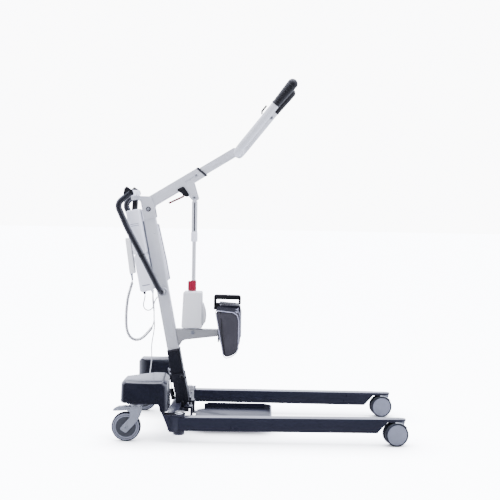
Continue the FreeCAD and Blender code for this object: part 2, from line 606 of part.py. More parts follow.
def inner_boom():
    """The sliding inner boom, and the bent patient arm tube on its end with grips and pegs."""
    half = "inner_deep / 2"
    outer = block("inner_outer", ("inner_start", "inner_end"), both(half),
                  (f"boom_axis - {half}", f"boom_axis + {half}"))
    bore = block("inner_bore", ("inner_start - 5", "inner_end - 34"), both(f"{half} - 3"),
                 (f"boom_axis - {half} + 3", f"boom_axis + {half} - 3"))
    saddle = rod("inner_saddle", "arm_r", both(60), "Y", (0, 0))
    saddle.Placement = BOOM.inverse() * ARM * saddle.Placement
    node("inner_boom", cut("inner_boom", outer, bore, saddle), BOOM)

    out = value("arm_track / 2")
    long = value("arm_long")
    route = [Vector(0, out, long), Vector(0, out, 0), Vector(0, -out, 0), Vector(0, -out, long)]
    bend = value("arm_bend")
    node("arm_tube", bent_tube("arm_bent", route, value("arm_r"), [bend, bend], 3), ARM)
    pegs = []
    for name, side in SIDES.items():
        grip_shape = grip(name)
        node(f"grip_{name}", moved(grip_shape, y=side * out), ARM)
        near, far = side * (out - value("arm_r")), side * (out - 42)
        pegs.append(fuse(f"peg_{name}", rod(f"peg_stem_{name}", 6, sorted((near, far)), "Y", (4, 226)),
                         rod(f"peg_ball_{name}", 10, sorted((far, far + side * 8)), "Y", (4, 226))))
        clip = slab(f"clip_{name}", [(-18, 190), (-18, 194), (-24, 200), (-24, 232), (-31, 232),
                                     (-31, 200), (-22, 190)], 12)
        hinge = rod(f"clip_hinge_{name}", 3, both(6), "Y", (-21, 192))
        node(f"sling_clip_{name}", moved(fuse(f"clip_{name}", clip, hinge), y=side * (out - 4)), ARM)
    node("sling_pegs", group("sling_pegs", *pegs), ARM)


def grip(name):
    """A soft sleeve on the arm's end, swelling to a rounded knob."""
    start = "grip_start"
    sleeve = doc.addObject("Part::Cone", f"grip_sleeve_{name}")
    bind(sleeve, Radius1="arm_r + 1", Radius2="arm_r + 6", Height="arm_long - grip_start + 1.5")
    sleeve.Placement.Base = Vector(0, 0, value(start))
    knob = doc.addObject("Part::Sphere", f"grip_knob_{name}")
    bind(knob, Radius="arm_r + 6")
    knob.Placement.Base = Vector(0, 0, value("arm_long + 1.5"))
    bore = rod(f"grip_bore_{name}", "arm_r + 0.02", (200, "arm_long + 1"))
    return cut(f"grip_{name}", fuse(f"grip_{name}", sleeve, knob), bore)


# ---------------------------------------------------------------- actuator and knee pads

def actuator():
    """The lift motor on the knee arm, its screw and piston, and the tube that pushes the boom."""
    centre = ("actuator_x", 0)
    casing = slab("motor_casing", [(-350, 449), (-343, 612), (-260, 612), (-256, 449)], 84)
    gears = slab("motor_gears", [(-270, 460), (-270, 566), (-254, 560), (-244, 530), (-241, 500),
                                 (-244, 474), (-254, 460)], 52)
    tongue = block("motor_tongue", ("actuator_x - 12", "actuator_x + 12"), both(9.5), (427, 450))
    eye = rod("motor_eye", 12, both(9.5), "Y", ("actuator_x", "motor_pin_z"))
    pin_hole = rod("motor_pin_hole", 6.06, both(30), "Y", ("actuator_x", "motor_pin_z"))
    socket = rod("piston_socket", "spindle_r + fit", (455, 620), "Z", centre)
    casing = cut("lift_motor", fuse("lift_motor", casing, gears, tongue, eye), pin_hole, socket)
    node("lift_motor", casing)
    node("drive_screw", rod("screw", "screw_r", (455, 858), "Z", centre))
    lever = block("release_lever", (-325, "actuator_x"), (-11, 11), (615, 658))
    sleeve = rod("release_sleeve", 13, (613, 662), "Z", centre)
    sleeve_bore = rod("release_bore", "spindle_r + fit", (600, 670), "Z", centre)
    node("lowering_release", cut("release", fuse("release", lever, sleeve), sleeve_bore))
    node("piston_rod", tube("piston", "spindle_r", "screw_r + 0.2", (588, 878), "Z", centre))
    outer = rod("push_outer", "push_r", (878, 1022), "Z", centre)
    wiper = tube("push_wiper", 15, "spindle_r", (836, 878), "Z", centre)
    rod_eye = rod("push_eye", 14, both(12), "Y", ("actuator_x", 1035))
    rod_pin = rod("push_pin", 6, both(19.5), "Y", ("actuator_x", 1035))
    bore = rod("push_bore", "screw_r + 0.2", (870, 1005), "Z", centre)
    node("push_tube", fuse("push_end", cut("push_tube", fuse("push_tube", outer, rod_eye, rod_pin),
                                           bore), wiper))


def knee_support():
    """The gusseted arm on the mast's front, with the motor pin and the knee pads' guide rail."""
    web = slab("knee_web", [(-377.4, 442), ("knee_front", 442), ("knee_front", 412), (-330, 394),
                            (-345, 388), (-361, 361)], 40)
    slot = block("knee_slot", ("actuator_x - 22", "actuator_x + 22"), both(10.5), (408, 450))
    rail = block("knee_rail", ("knee_front", "knee_front + 6"), both(17), (385, 498))
    pin = rod("motor_pin", 6, both(26), "Y", ("actuator_x", "motor_pin_z"))
    node("knee_arm", fuse("knee_arm", cut("knee", web, slot), rail, pin))


def knee_pads():
    """Two knee cups either side of a spine that slides on the rail, with a handle on top."""
    back = "knee_front + 6.6"
    spine = slab("spine", [(back, 557), (-84, 553), (-84, 480), (-90, 390), (-106, 360),
                           (-140, 345), (-164, 352), (back, 400)], "pad_inner * 2")
    node("knee_spine", spine)
    loop = slab("loop_outer", [(-207, 532), (-207, 592), (-200, 599), (-92, 598), (-85, 590),
                               (-85, 557.4), (-180.8, 557.4), (-180.8, 532)], 26)
    window = slab("loop_window", [(-195, 562), (-195, 581), (-96, 579), (-96, 562)], 40)
    node("knee_handle", cut("knee_handle", loop, window))
    wide = "pad_outer - pad_inner"
    for name, side in SIDES.items():
        outline = [(-191, 548), (-112, 541), (-95, 530), (-87, 508), (-87, 384), (-97, 363),
                   (-117, 347), (-141, 341), (-153, 353)]
        cushion = slab(f"cushion_{name}", outline, wide)
        middle = side * value("(pad_outer + pad_inner) / 2")
        moved(cushion, y=middle)
        hollow = rod(f"knee_hollow_{name}", "knee_hollow", (300, 600), "Z", (-64, middle))
        node(f"knee_pad_{name}", cut(f"knee_pad_{name}", cushion, hollow))


# ---------------------------------------------------------------- cords

def cords():
    """The handset's curly cord and the thin leads. Each list is the cord's own route."""
    cord("curly_cord", [(-575.1, -30, 677.75), (-571.9, -30, 655), (-580, -31, 625),
                        (-589.5, -33, 592), (-594.5, -36, 557), (-597, -39, 520), (-597.5, -41, 484), (-596, -43, 451),
                        (-588, -44, 419), (-571, -45, 398), (-546, -46, 391.5), (-521, -46, 403),
                        (-499, -46, 427), (-479, -46, 452)], value("curl_r"))
    cord("handset_lead", [(-479, -46, 452), (-471, -46, 476), (-471, -45, 509), (-475, -45, 543),
                          (-480, -45, 576), (-478.3, -45, 603.8)], value("lead_r"))
    cord("spread_lead", [(-476.4, -58, 604.2), (-474, -58, 570), (-470, -57, 534), (-471, -58, 498),
                         (-467, -60, 463), (-470, -63, 430), (-475, -71, 399), (-477, -85, 371),
                         (-473, -108, 342), (-470, -137, 312), (-471, -168, 281), (-471, -194, 262),
                         (-471, -217.5, 262)], value("lead_r"))
    cord("lift_lead", [(-514.8, -30, 592.5), (-517, -30, 573), (-523, -30, 552.5), (-518, -30, 532),
                       (-500, -29, 523), (-482, -27, 532), (-475, -24, 552), (-471, -21, 571),
                       (-460, -18, 586)], value("lead_r"))


cross_beam()
leg_pivot_pins()
mast_foot()
spread_actuator()
footplate()
for side_name, side_sign in SIDES.items():
    rear_arm(side_name, side_sign)
    rear_cover(side_name, side_sign)
    leg(side_name, side_sign)
    rear_castor(side_name, side_sign)
    push_handle(side_name, side_sign)
mast()
control_box()
battery()
handset()
fold_latch()
boom()
inner_boom()
actuator()
knee_support()
knee_pads()
cords()
doc.recompute()

for item in doc.Objects:
    if "Invalid" in item.State or "Error" in item.State:
        raise RuntimeError(f"{item.Name} ({item.Label}) did not build: {item.State}")
for item in nodes:
    if item.Shape.isNull() or not item.Shape.isValid():
        raise RuntimeError(f"{item.Label} has no valid shape")

os.makedirs("parts", exist_ok=True)
for item in nodes:
    item.Shape.exportStep(f"parts/{item.Label}.step")
print(len(nodes), "nodes")
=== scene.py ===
import math

import bmesh
import bpy
from mathutils import Matrix, Vector


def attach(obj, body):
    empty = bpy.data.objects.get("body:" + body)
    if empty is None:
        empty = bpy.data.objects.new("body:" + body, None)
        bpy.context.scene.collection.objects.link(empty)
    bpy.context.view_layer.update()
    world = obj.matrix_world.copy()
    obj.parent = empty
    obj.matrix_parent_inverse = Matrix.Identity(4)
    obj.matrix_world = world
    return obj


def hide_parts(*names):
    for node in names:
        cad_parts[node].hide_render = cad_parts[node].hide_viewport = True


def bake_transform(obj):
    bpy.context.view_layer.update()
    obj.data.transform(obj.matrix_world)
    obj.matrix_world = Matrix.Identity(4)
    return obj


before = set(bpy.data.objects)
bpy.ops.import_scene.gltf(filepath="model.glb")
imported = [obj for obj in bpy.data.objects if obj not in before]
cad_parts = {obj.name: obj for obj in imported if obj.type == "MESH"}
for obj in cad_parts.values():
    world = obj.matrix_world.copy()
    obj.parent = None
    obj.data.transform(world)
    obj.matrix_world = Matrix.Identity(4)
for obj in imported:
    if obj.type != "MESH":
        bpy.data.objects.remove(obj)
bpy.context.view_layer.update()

MM = 0.001
SIDES = {"left": 1, "right": -1}


def mm(*numbers):
    return Vector(numbers) * MM


def place(x, y, z, turn=0.0, axis="Y"):
    """A frame at a point in millimetres, turned about one axis in degrees."""
    return Matrix.Translation(mm(x, y, z)) @ Matrix.Rotation(math.radians(turn), 4, axis)


WORLD = Matrix.Identity(4)
PIVOT_X, PIVOT_Y = -331, 316        # leg pivots
LEG_RUN, LEG_TOE = 917, 21          # pivot to leg end, along and across
FRONT_AXLE = (-20, 0, 50)           # in the front castor's frame
REAR_AXLE = (-41, 0, 62.5)          # in the rear castor's frame
LIFT_AXIS = (-300, 0, 0)            # motor, screw, piston and push tube
ARM_OUT = 190                       # arms and grips, from the middle
MAST = place(PIVOT_X, 0, 66, -11)
BOOM = place(-504.707, 0, 979.03, -31.5)
ARM = place(-108, 0, 1234, 38.5)
HANDSET = place(-582, -30, 770, -8)
TOE_IN = math.degrees(math.atan2(LEG_TOE, LEG_RUN))
LEG = {name: place(PIVOT_X, side * PIVOT_Y, 0, -side * TOE_IN, "Z")
       for name, side in SIDES.items()}
LEG_END = math.hypot(LEG_RUN, LEG_TOE)


# ---------------------------------------------------------------- materials

def set_inputs(node, **values):
    """Set a node's inputs by name, with an underscore for each space."""
    for name, value in values.items():
        node.inputs[name.replace("_", " ")].default_value = value
    return node


def add_node(tree, kind, **values):
    return set_inputs(tree.nodes.new("ShaderNode" + kind), **values)


def bump_from(tree, height, strength, distance):
    bump = add_node(tree, "Bump", Strength=strength, Distance=distance)
    tree.links.new(height, bump.inputs["Height"])
    tree.links.new(bump.outputs["Normal"], tree.nodes["Principled BSDF"].inputs["Normal"])


def surface(name, colour, rough, metal=0.0, mottle=0.06, mottle_scale=7.0, grain=0.0,
            grain_scale=900.0, coat=0.0, shine=0.5, rough_spread=0.08, edge=0.0):
    """A painted, moulded or covered surface: colour variation, uneven gloss and a fine grain."""
    look = bpy.data.materials.new(name)
    look.use_nodes = True
    tree = look.node_tree
    link = tree.links.new
    shader = set_inputs(tree.nodes["Principled BSDF"], Metallic=metal, Coat_Weight=coat,
                        Coat_Roughness=0.12, Specular_IOR_Level=shine)
    where = add_node(tree, "TexCoord")
    cloud = add_node(tree, "TexNoise", Scale=mottle_scale, Detail=5)
    link(where.outputs["Object"], cloud.inputs["Vector"])
    tint = add_node(tree, "ValToRGB")
    dark = [channel * (1 - mottle) for channel in colour]
    light = [min(1, channel * (1 + mottle) + mottle * 0.01) for channel in colour]
    for index, position, shade in ((0, 0.3, dark), (1, 0.7, light)):
        tint.color_ramp.elements[index].position = position
        tint.color_ramp.elements[index].color = (*shade, 1)
    link(cloud.outputs["Fac"], tint.inputs["Fac"])
    base = tint.outputs["Color"]
    if edge:
        shape = add_node(tree, "NewGeometry")
        ramp = add_node(tree, "MapRange", From_Min=0.52, From_Max=0.60, To_Max=edge)
        link(shape.outputs["Pointiness"], ramp.inputs["Value"])
        worn = add_node(tree, "Mix")
        worn.data_type = "RGBA"
        set_inputs(worn, B=(*[min(1, channel * 1.5 + 0.035) for channel in colour], 1))
        link(ramp.outputs["Result"], worn.inputs["Factor"])
        link(base, worn.inputs["A"])
        base = worn.outputs["Result"]
    link(base, shader.inputs["Base Color"])
    gloss = add_node(tree, "MapRange", To_Min=max(0.03, rough - rough_spread),
                     To_Max=rough + rough_spread)
    link(cloud.outputs["Fac"], gloss.inputs["Value"])
    link(gloss.outputs["Result"], shader.inputs["Roughness"])
    if grain:
        fine = add_node(tree, "TexNoise", Scale=grain_scale, Detail=3)
        link(where.outputs["Object"], fine.inputs["Vector"])
        bump_from(tree, fine.outputs["Fac"], grain, 0.0006)
    return look


def leather(name, colour, scale=420.0):
    """Coated upholstery: small cells with soft creases and a broken gloss."""
    look = surface(name, colour, 0.62, mottle=0.10, mottle_scale=14.0, shine=0.03)
    tree = look.node_tree
    cells = add_node(tree, "TexVoronoi")
    cells.feature = "DISTANCE_TO_EDGE"
    set_inputs(cells, Scale=scale)
    where = add_node(tree, "TexCoord")
    tree.links.new(where.outputs["Object"], cells.inputs["Vector"])
    crease = add_node(tree, "MapRange", From_Max=0.25)
    tree.links.new(cells.outputs["Distance"], crease.inputs["Value"])
    bump_from(tree, crease.outputs["Result"], 0.35, 0.0007)
    return look


def moulded(name, colour, rough, mottle=0.025, grain=0.2, grain_scale=1600.0):
    """A plastic moulding: nearly one colour, with a very fine grain."""
    return surface(name, colour, rough, mottle=mottle, grain=grain, grain_scale=grain_scale)


CHASSIS = surface("chassis_satin", (0.0150, 0.0160, 0.0290), 0.30, grain=0.06, coat=0.3,
                  edge=0.35)
SILVER = surface("silver_satin", (0.56, 0.565, 0.585), 0.40, 0.1, mottle=0.03, grain=0.05,
                 coat=0.15, edge=0.2)
LOWER = surface("mast_lower_grey", (0.0120, 0.0125, 0.0180), 0.45, grain=0.06, edge=0.2,
                shine=0.15)
MATT = surface("matt_black", (0.010, 0.010, 0.014), 0.8, grain=0.2, shine=0.02)
ZINC = surface("zinc_plate", (0.62, 0.63, 0.66), 0.3, 0.9, mottle=0.12, mottle_scale=40.0)
CHROME = surface("chrome_rod", (0.80, 0.80, 0.80), 0.2, 0.35, mottle=0.03, rough_spread=0.04)
COVER = surface("cover_navy", (0.0048, 0.0052, 0.0125), 0.3, mottle=0.1, grain=0.25,
                grain_scale=1500.0, coat=0.6)
BOX = moulded("box_lilac_grey", (0.86, 0.86, 0.91), 0.45)
MOTOR = moulded("motor_light_grey", (0.78, 0.78, 0.77), 0.42)
HANDSET_SHELL = moulded("handset_off_white", (0.88, 0.88, 0.86), 0.42)
TRACK = surface("track_grey", (0.16, 0.165, 0.19), 0.5, grain=0.2)
SEAM = surface("dark_seam", (0.02, 0.02, 0.026), 0.6, grain=0.2)
HANDLE = surface("handle_black_gloss", (0.0110, 0.0115, 0.0160), 0.26, mottle=0.15, coat=0.6)
BLACK = surface("moulded_black", (0.006, 0.006, 0.0085), 0.42, mottle=0.1, grain=0.3,
                grain_scale=1400.0)
RUBBER = surface("grip_rubber", (0.005, 0.005, 0.0075), 0.5, mottle=0.2, mottle_scale=30.0,
                 grain=0.5, grain_scale=1100.0)
CASTOR = moulded("castor_grey", (0.215, 0.228, 0.262), 0.42, 0.05, 0.25, 1500.0)
VISOR = moulded("castor_visor_grey", (0.50, 0.52, 0.57), 0.4, 0.05, 0.25, 1500.0)
KNEE_ARM = surface("knee_arm_grey", (0.34, 0.34, 0.345), 0.42, 0.1, mottle=0.03, grain=0.05)
DISC = moulded("wheel_disc_grey", (0.195, 0.205, 0.250), 0.45, 0.04, 0.25, 1500.0)
HUB = surface("hub_dark_grey", (0.042, 0.045, 0.054), 0.45, mottle=0.06, grain=0.25)
TYRE = surface("tyre_dark", (0.022, 0.024, 0.030), 0.7, mottle=0.25, mottle_scale=35.0,
               grain=0.4, grain_scale=700.0, shine=0.08)
RED = surface("red_plastic", (0.30, 0.0030, 0.030), 0.28, mottle=0.06, coat=0.3)
STRIP = surface("strip_dark_red", (0.10, 0.004, 0.010), 0.4, mottle=0.1, grain=0.2)
CORD = surface("cord_jacket", (0.42, 0.42, 0.43), 0.5, mottle=0.05, grain=0.15)
PAD = leather("pad_slate", (0.045, 0.043, 0.050))
# A welt whose light colour is partly a painted highlight along the cushion's rims.
PIPING_AND_HIGHLIGHT = leather("pad_piping_and_highlight", (0.36, 0.36, 0.45), 900.0)
TICK = surface("tick_paint", (0.05, 0.06, 0.10), 0.5, mottle=0.1)
TRAY = surface("tray_dark", (0.0065, 0.0075, 0.017), 0.34, mottle=0.12, grain=0.3,
               grain_scale=1200.0, shine=0.35)


# ---------------------------------------------------------------- mesh helpers

def enter(name, data, body, stands_for=()):
    """Put a mesh or curve into the scene as a piece that rides on a body."""
    piece = bpy.data.objects.new(name, data)
    bpy.context.scene.collection.objects.link(piece)
    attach(piece, body)
    if stands_for:
        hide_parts(*stands_for)
    return piece


def finish_piece(name, mesh, look, body, stands_for=(), slot=None, sharp=40):
    mesh.materials.clear()
    mesh.materials.append(look)
    mesh.shade_smooth()
    mesh.set_sharp_from_angle(angle=math.radians(sharp))
    return enter(name, mesh, body, stands_for)


def mesh_of(piece):
    """The piece's shape as a mesh, with its modifiers or its curve's bevel."""
    graph = bpy.context.evaluated_depsgraph_get()
    graph.update()
    return bpy.data.meshes.new_from_object(piece.evaluated_get(graph))


def between(side, inner, outer):
    """The span of Y between two distances from the middle, on one side."""
    return sorted((side * inner, side * outer))


def from_bmesh(name, made, look, body, at=WORLD, **more):
    bmesh.ops.recalc_face_normals(made, faces=made.faces)
    mesh = bpy.data.meshes.new(name)
    made.to_mesh(mesh)
    made.free()
    mesh.transform(at)
    return finish_piece(name, mesh, look, body, **more)


def corner_arc(before, corner, after, radius):
    """The start and end of the arc that fits a corner, and half the corner's angle."""
    into = before - corner
    out = after - corner
    half = into.angle(out) / 2
    reach = min(radius / max(math.tan(half), 1e-3), into.length * 0.48, out.length * 0.48)
    return corner + into.normalized() * reach, corner + out.normalized() * reach, half


def soften(outline, radius, steps=5):
    """The outline with each corner replaced by a curve that fits its edges."""
    points = []
    corners = [Vector(point) for point in outline]
    for index, corner in enumerate(corners):
        after = corners[(index + 1) % len(corners)]
        start, end, _ = corner_arc(corners[index - 1], corner, after, radius)
        for step in range(steps + 1):
            share = step / steps
            near = start.lerp(corner, share)
            far = corner.lerp(end, share)
            points.append(tuple(near.lerp(far, share)))
    return points


ORDER = {"X": (2, 0, 1), "Y": (0, 2, 1), "Z": (0, 1, 2)}


def prism(name, outline, span, look, body, at=WORLD, soft=0.0, bevel=0.0, axis="Y", steps=3,
          **more):
    """An outline in millimetres, drawn out over a span of one axis, with rounded rims."""
    if soft:
        outline = soften(outline, soft)
    made = bmesh.new()
    rings = []
    for level in span:
        ring = []
        for across, up in outline:
            raw = (across, up, level)
            ring.append(made.verts.new(mm(*[raw[slot] for slot in ORDER[axis]])))
        rings.append(ring)
    caps = [made.faces.new(rings[0]), made.faces.new(rings[1])]
    for index in range(len(outline)):
        after = (index + 1) % len(outline)
        made.faces.new((rings[0][index], rings[0][after], rings[1][after], rings[1][index]))
    bmesh.ops.recalc_face_normals(made, faces=made.faces)
    if bevel:
        rims = {edge for cap in caps for edge in cap.edges}
        edges = list(rims) if soft else list(made.edges)
        bmesh.ops.bevel(made, geom=edges, offset=bevel * MM, segments=steps, profile=0.5,
                        affect="EDGES", clamp_overlap=True)
    return from_bmesh(name, made, look, body, at, **more)


def box(name, x, y, z, look, body, at=WORLD, soft=3.0, bevel=1.5, **more):
    outline = [(x[0], z[0]), (x[1], z[0]), (x[1], z[1]), (x[0], z[1])]
    return prism(name, outline, y, look, body, at, soft, bevel, **more)


def lathe(name, profile, look, body, at=WORLD, axis="Z", centre=(0, 0, 0), steps=56, side=1,
          **more):
    """A profile of (radius, distance along the axis) in millimetres, turned about the axis.

    A side of -1 points the distances the other way.
    """
    made = bmesh.new()
    turn = {"Z": Matrix.Identity(4), "Y": Matrix.Rotation(math.radians(-90), 4, "X"),
            "X": Matrix.Rotation(math.radians(90), 4, "Y")}[axis]
    rings = []
    for radius, along in profile:
        along *= side
        if radius < 1e-6:
            rings.append([made.verts.new(mm(0, 0, along))])
            continue
        ring = []
        for step in range(steps):
            angle = 2 * math.pi * step / steps
            ring.append(made.verts.new(mm(radius * math.cos(angle), radius * math.sin(angle),
                                          along)))
        rings.append(ring)
    for low, high in zip(rings, rings[1:]):
        for step in range(steps):
            after = (step + 1) % steps
            corners = [low[step % len(low)], low[after % len(low)], high[after % len(high)],
                       high[step % len(high)]]
            corners = [c for index, c in enumerate(corners) if c not in corners[:index]]
            if len(corners) > 2:
                made.faces.new(corners)
    for ring in (rings[0], rings[-1]):
        if len(ring) > 1:
            made.faces.new(ring)
    return from_bmesh(name, made, look, body, at @ Matrix.Translation(mm(*centre)) @ turn, **more)


def rim(radius, low, high, edge=1.5):
    """The profile of a disc or rod with rounded edges."""
    steps = [0, 0.29, 1]
    rise = [1, 0.29, 0]
    under = [(radius - edge * r, low + edge * s) for s, r in zip(steps, rise)]
    over = [(radius - edge * s, high - edge * r) for s, r in zip(steps, rise)]
    return [(0, low), *under, *over, (0, high)]


def rounded_line(points, bend, steps=10):
    """Points along straight runs with arcs at the corners."""
    line = [points[0]]
    for before, corner, after in zip(points, points[1:], points[2:]):
        start, end, half = corner_arc(before, corner, after, bend)
        radius = (start - corner).length * math.tan(half)
        inward = ((start - corner).normalized() + (end - corner).normalized()).normalized()
        centre = corner + inward * (radius / math.sin(half))
        for step in range(steps + 1):
            raw = start.lerp(end, step / steps) - centre
            line.append(centre + raw.normalized() * radius)
    line.append(points[-1])
    return line


def pipe(name, points, radius, look, body, at=WORLD, bend=0.0, stands_for=(),
         closed=False):
    """A rigid tube or bar along straight runs and arcs, in millimetres."""
    line = [Vector(point) for point in points]
    if bend and not closed:
        line = rounded_line(line, bend)
    curve = bpy.data.curves.new(name, "CURVE")
    curve.dimensions = "3D"
    curve.bevel_depth = radius * MM
    curve.bevel_resolution = 6
    curve.use_fill_caps = True
    spline = curve.splines.new("POLY")
    spline.points.add(len(line) - 1)
    spline.use_cyclic_u = closed
    for point, spot in zip(spline.points, line):
        point.co = (*(at @ (spot * MM)), 1)
    spline.use_smooth = True
    curve.materials.append(look)
    return enter(name, curve, body, stands_for)


def rounded(node, look, body, width=1.2, steps=2, angle=35, slot=None):
    """The CAD shape with its planar faces joined and its edges rounded."""
    made = bmesh.new()
    made.from_mesh(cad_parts[node].data)
    bmesh.ops.remove_doubles(made, verts=made.verts, dist=1e-5)
    bmesh.ops.dissolve_limit(made, angle_limit=math.radians(1.0), verts=made.verts,
                             edges=made.edges)
    sharp = [edge for edge in made.edges
             if len(edge.link_faces) == 2 and edge.calc_face_angle(0) > math.radians(angle)]
    bmesh.ops.bevel(made, geom=sharp, offset=width * MM, segments=steps, profile=0.5,
                    affect="EDGES", clamp_overlap=True)
    mesh = bpy.data.meshes.new(node + "_shape")
    made.to_mesh(mesh)
    made.free()
    return finish_piece(node + "_shape", mesh, look, body, stands_for=[node], slot=slot)


def bolt(name, centre, radius, body, at=WORLD, side=-1, look=ZINC):
    """A button-head bolt with a hexagon socket, facing along Y."""
    tall = radius * 0.6
    profile = [(0, 0), (radius, 0), (radius, tall * 0.25), (radius * 0.86, tall * 0.72),
               (radius * 0.55, tall), (radius * 0.45, tall), (radius * 0.42, tall * 0.35),
               (0, tall * 0.35)]
    return lathe(name, profile, look, body, at, "Y", centre, steps=36, side=side)


def skin(node, look):
    """A carried-over CAD node with its finish."""
    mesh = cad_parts[node].data
    mesh.materials.clear()
    mesh.materials.append(look)
    mesh.shade_smooth()
    mesh.set_sharp_from_angle(angle=math.radians(30))


# ---------------------------------------------------------------- chassis

def chassis():
    rounded("cross_beam", CHASSIS, "base", 2.5, 3)
    rounded("mast_foot", LOWER, "base", 1.2)
    for name, side in SIDES.items():
        rounded(f"rear_arm_{name}", CHASSIS, "base", 2.0)
        rear_cover(name, side)
        pivot(name, side)
        for label, x, y, z, look, soft, bevel in (
                ("lip", (-361, -333), (341.1, 342.6), (47, 117), CHASSIS, 2, 0.5),
                ("bracket", (-349, -309), (288.2, 290.8), (109, 127), SILVER, 4, 0.8),
                ("cap", (-394, -305), (297, 340), (118.6, 121), MATT, 4, 0.8)):
            box(f"arm_{label}_{name}", x, between(side, *y), z, look, "base", soft=soft,
                bevel=bevel)
    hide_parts("leg_pivot_pins")
    skin("spread_rod", ZINC)
    rounded("spread_motor", BLACK, "spread_motor", 2.0)
    for side in SIDES.values():
        bolt(f"foot_bolt_{side + 1}", (18, side * 41.5, 163), 9, "base", MAST, side, BLACK)
        bolt(f"foot_low_bolt_{side + 1}", (2, side * 38, 48), 6, "base", MAST, side, BLACK)


def pivot(name, side):
    at = (PIVOT_X, side * PIVOT_Y, 0)
    lathe(f"pivot_washer_{name}", [(0, 119), (17, 119), (17, 121.2), (16, 122), (0, 122)], ZINC,
          "base", WORLD, centre=at)
    dome = [(0, 119), (10, 119), (11, 122), (11, 124)]
    dome += [(11 * math.cos(a * math.pi / 12), 124 + 5 * math.sin(a * math.pi / 12))
             for a in range(1, 7)]
    dome[-1] = (0, 129)
    lathe(f"pivot_nut_{name}", dome, ZINC, "base", WORLD, centre=at)


def rear_cover(name, side):
    """A moulded shell whose top falls away to the outside, with a chamfered outer face."""
    made = bmesh.new()
    rings = []
    middle = Vector((-478, 208))
    profile = [(0, 3), (1.2, 1.2), (4, 0), (8, 0), (14, 0), (20, 0), (28, 0), (42, 0), (60, 0), (96, 0),
               (104, 0.8), (111, 2.6), (117, 5.4), (121.5, 9), (124, 13.5)]
    for along, inset in profile:
        top = 280 - 0.1763 * along
        outline = [(-573, 167), (-578, 171), (-575, min(250, top - 9)), (-562, min(263, top)),
                   (-445, top), (-397, top), (-380, top - 15), (-375, 131), (-396, 131),
                   (-402, 167)]
        rear, roof = -578, top
        if side > 0:
            rear += 60 * (1 - math.sqrt(1 - max(0.0, 1 - along / 60) ** 2))
            roof -= 40 * (1 - math.sqrt(1 - max(0.0, 1 - along / 40) ** 2))
        ring = []
        for across, up in soften(outline, 13, 7):
            spot = middle + (Vector((across, up)) - middle) * (1 - inset / 88)
            if up < 168:
                spot.y = up
            ring.append(made.verts.new(mm(max(spot.x, rear), side * (226 + along),
                                          min(spot.y, roof))))
        rings.append(ring)
    count = len(rings[0])
    for low, high in zip(rings, rings[1:]):
        for index in range(count):
            after = (index + 1) % count
            made.faces.new((low[index], low[after], high[after], high[index]))
    made.faces.new(rings[0])
    made.faces.new(rings[-1])
    bmesh.ops.remove_doubles(made, verts=made.verts, dist=5e-5)
    from_bmesh(f"cover_shell_{name}", made, COVER, "base", stands_for=[f"rear_cover_{name}"],
               slot="cover_plastic")
    outer = side * 350
    pipe(f"cover_seam_{name}", [(-560, outer - side * 1.5, 206), (-400, outer - side * 1.5, 203)],
         0.7, SEAM, "base")
    if side < 0:
        lathe("cover_gland_piece", [(0, -230), (8, -230), (8, -222), (6, -221), (4, -213), (3, -213),
                                    (0, -213)], BLACK, "base", WORLD, "Y", (-471, 0, 262))


# ---------------------------------------------------------------- legs

def leg(name, side):
    at = LEG[name]
    body = f"leg_{name}"
    end = LEG_END
    lathe(f"leg_bush_{name}", rim(25, 52, 109, 1), CHASSIS, body, at)
    outline = [(-9, 52), (end - 79, 55), (end - 46, 92), (end - 35, 104.5), (end - 35, 115),
               (-9, 109)]
    prism(f"leg_tube_{name}", outline, (-25, 25), CHASSIS, body, at, soft=7, bevel=4, steps=4,
          stands_for=[f"leg_{name}"], slot="chassis_paint")
    lathe(f"leg_neck_{name}", rim(15.5, 45, 52, 0.5), ZINC, body, at)
    lathe(f"leg_stub_{name}", rim(24.5, 33, 45.4, 2), CHASSIS, body, at)
    crank = Matrix.Rotation(math.radians(side * TOE_IN), 4, "Z") @ Vector((-36, -side * 44, 0))
    length = crank.length
    turned = at @ Matrix.Rotation(math.atan2(crank.y, crank.x), 4, "Z")
    plate = [(0, -12), (length, -12), (length + 9, -8), (length + 12, 0), (length + 9, 8),
             (length, 12), (0, 12)]
    prism(f"leg_crank_{name}", plate, (35, 43), ZINC, body, turned, bevel=0.8, axis="Z")
    lathe(f"leg_crank_pin_{name}", rim(6, 42, 64, 1), ZINC, body, at, centre=(crank.x, crank.y, 0))
    box(f"leg_bracket_{name}", (-16, 20), between(-side, 24.5, 28), (55, 107), SILVER, body, at,
        soft=4, bevel=1)
    box(f"leg_bracket_tab_{name}", (-16, 0), between(-side, 26, 28.2), (98, 127), SILVER, body,
        at, soft=4, bevel=0.8)
    for spot in ((-5, 66), (10, 96)):
        bolt(f"leg_bracket_bolt_{name}_{spot[1]}", (spot[0], -side * 28, spot[1]), 4.5, body, at,
             -side)
    tip = [(end - 52, -23)]
    tip += [(end + 20 + 23 * math.cos(a), 23 * math.sin(a))
            for a in [math.radians(d) for d in range(-90, 91, 10)]]
    tip += [(end - 52, 23)]
    prism(f"leg_plate_{name}", tip, (104.5, 115), CHASSIS, body, at, bevel=1.8, axis="Z")
    box(f"leg_web_{name}", (end - 50, end - 3), (-23, 23), (101.8, 106), CHASSIS, body, at, soft=1,
        bevel=0.5)
    lathe(f"leg_plate_nut_{name}", rim(8, 114.5, 117.5, 1), ZINC, body, at,
          centre=(end + 20, 0, 0), steps=6)
    swivel = Matrix.Rotation(math.radians(9), 4, "Z")
    front_castor(name, side, at @ Matrix.Translation(mm(end + 20, 0, 0)) @ swivel)


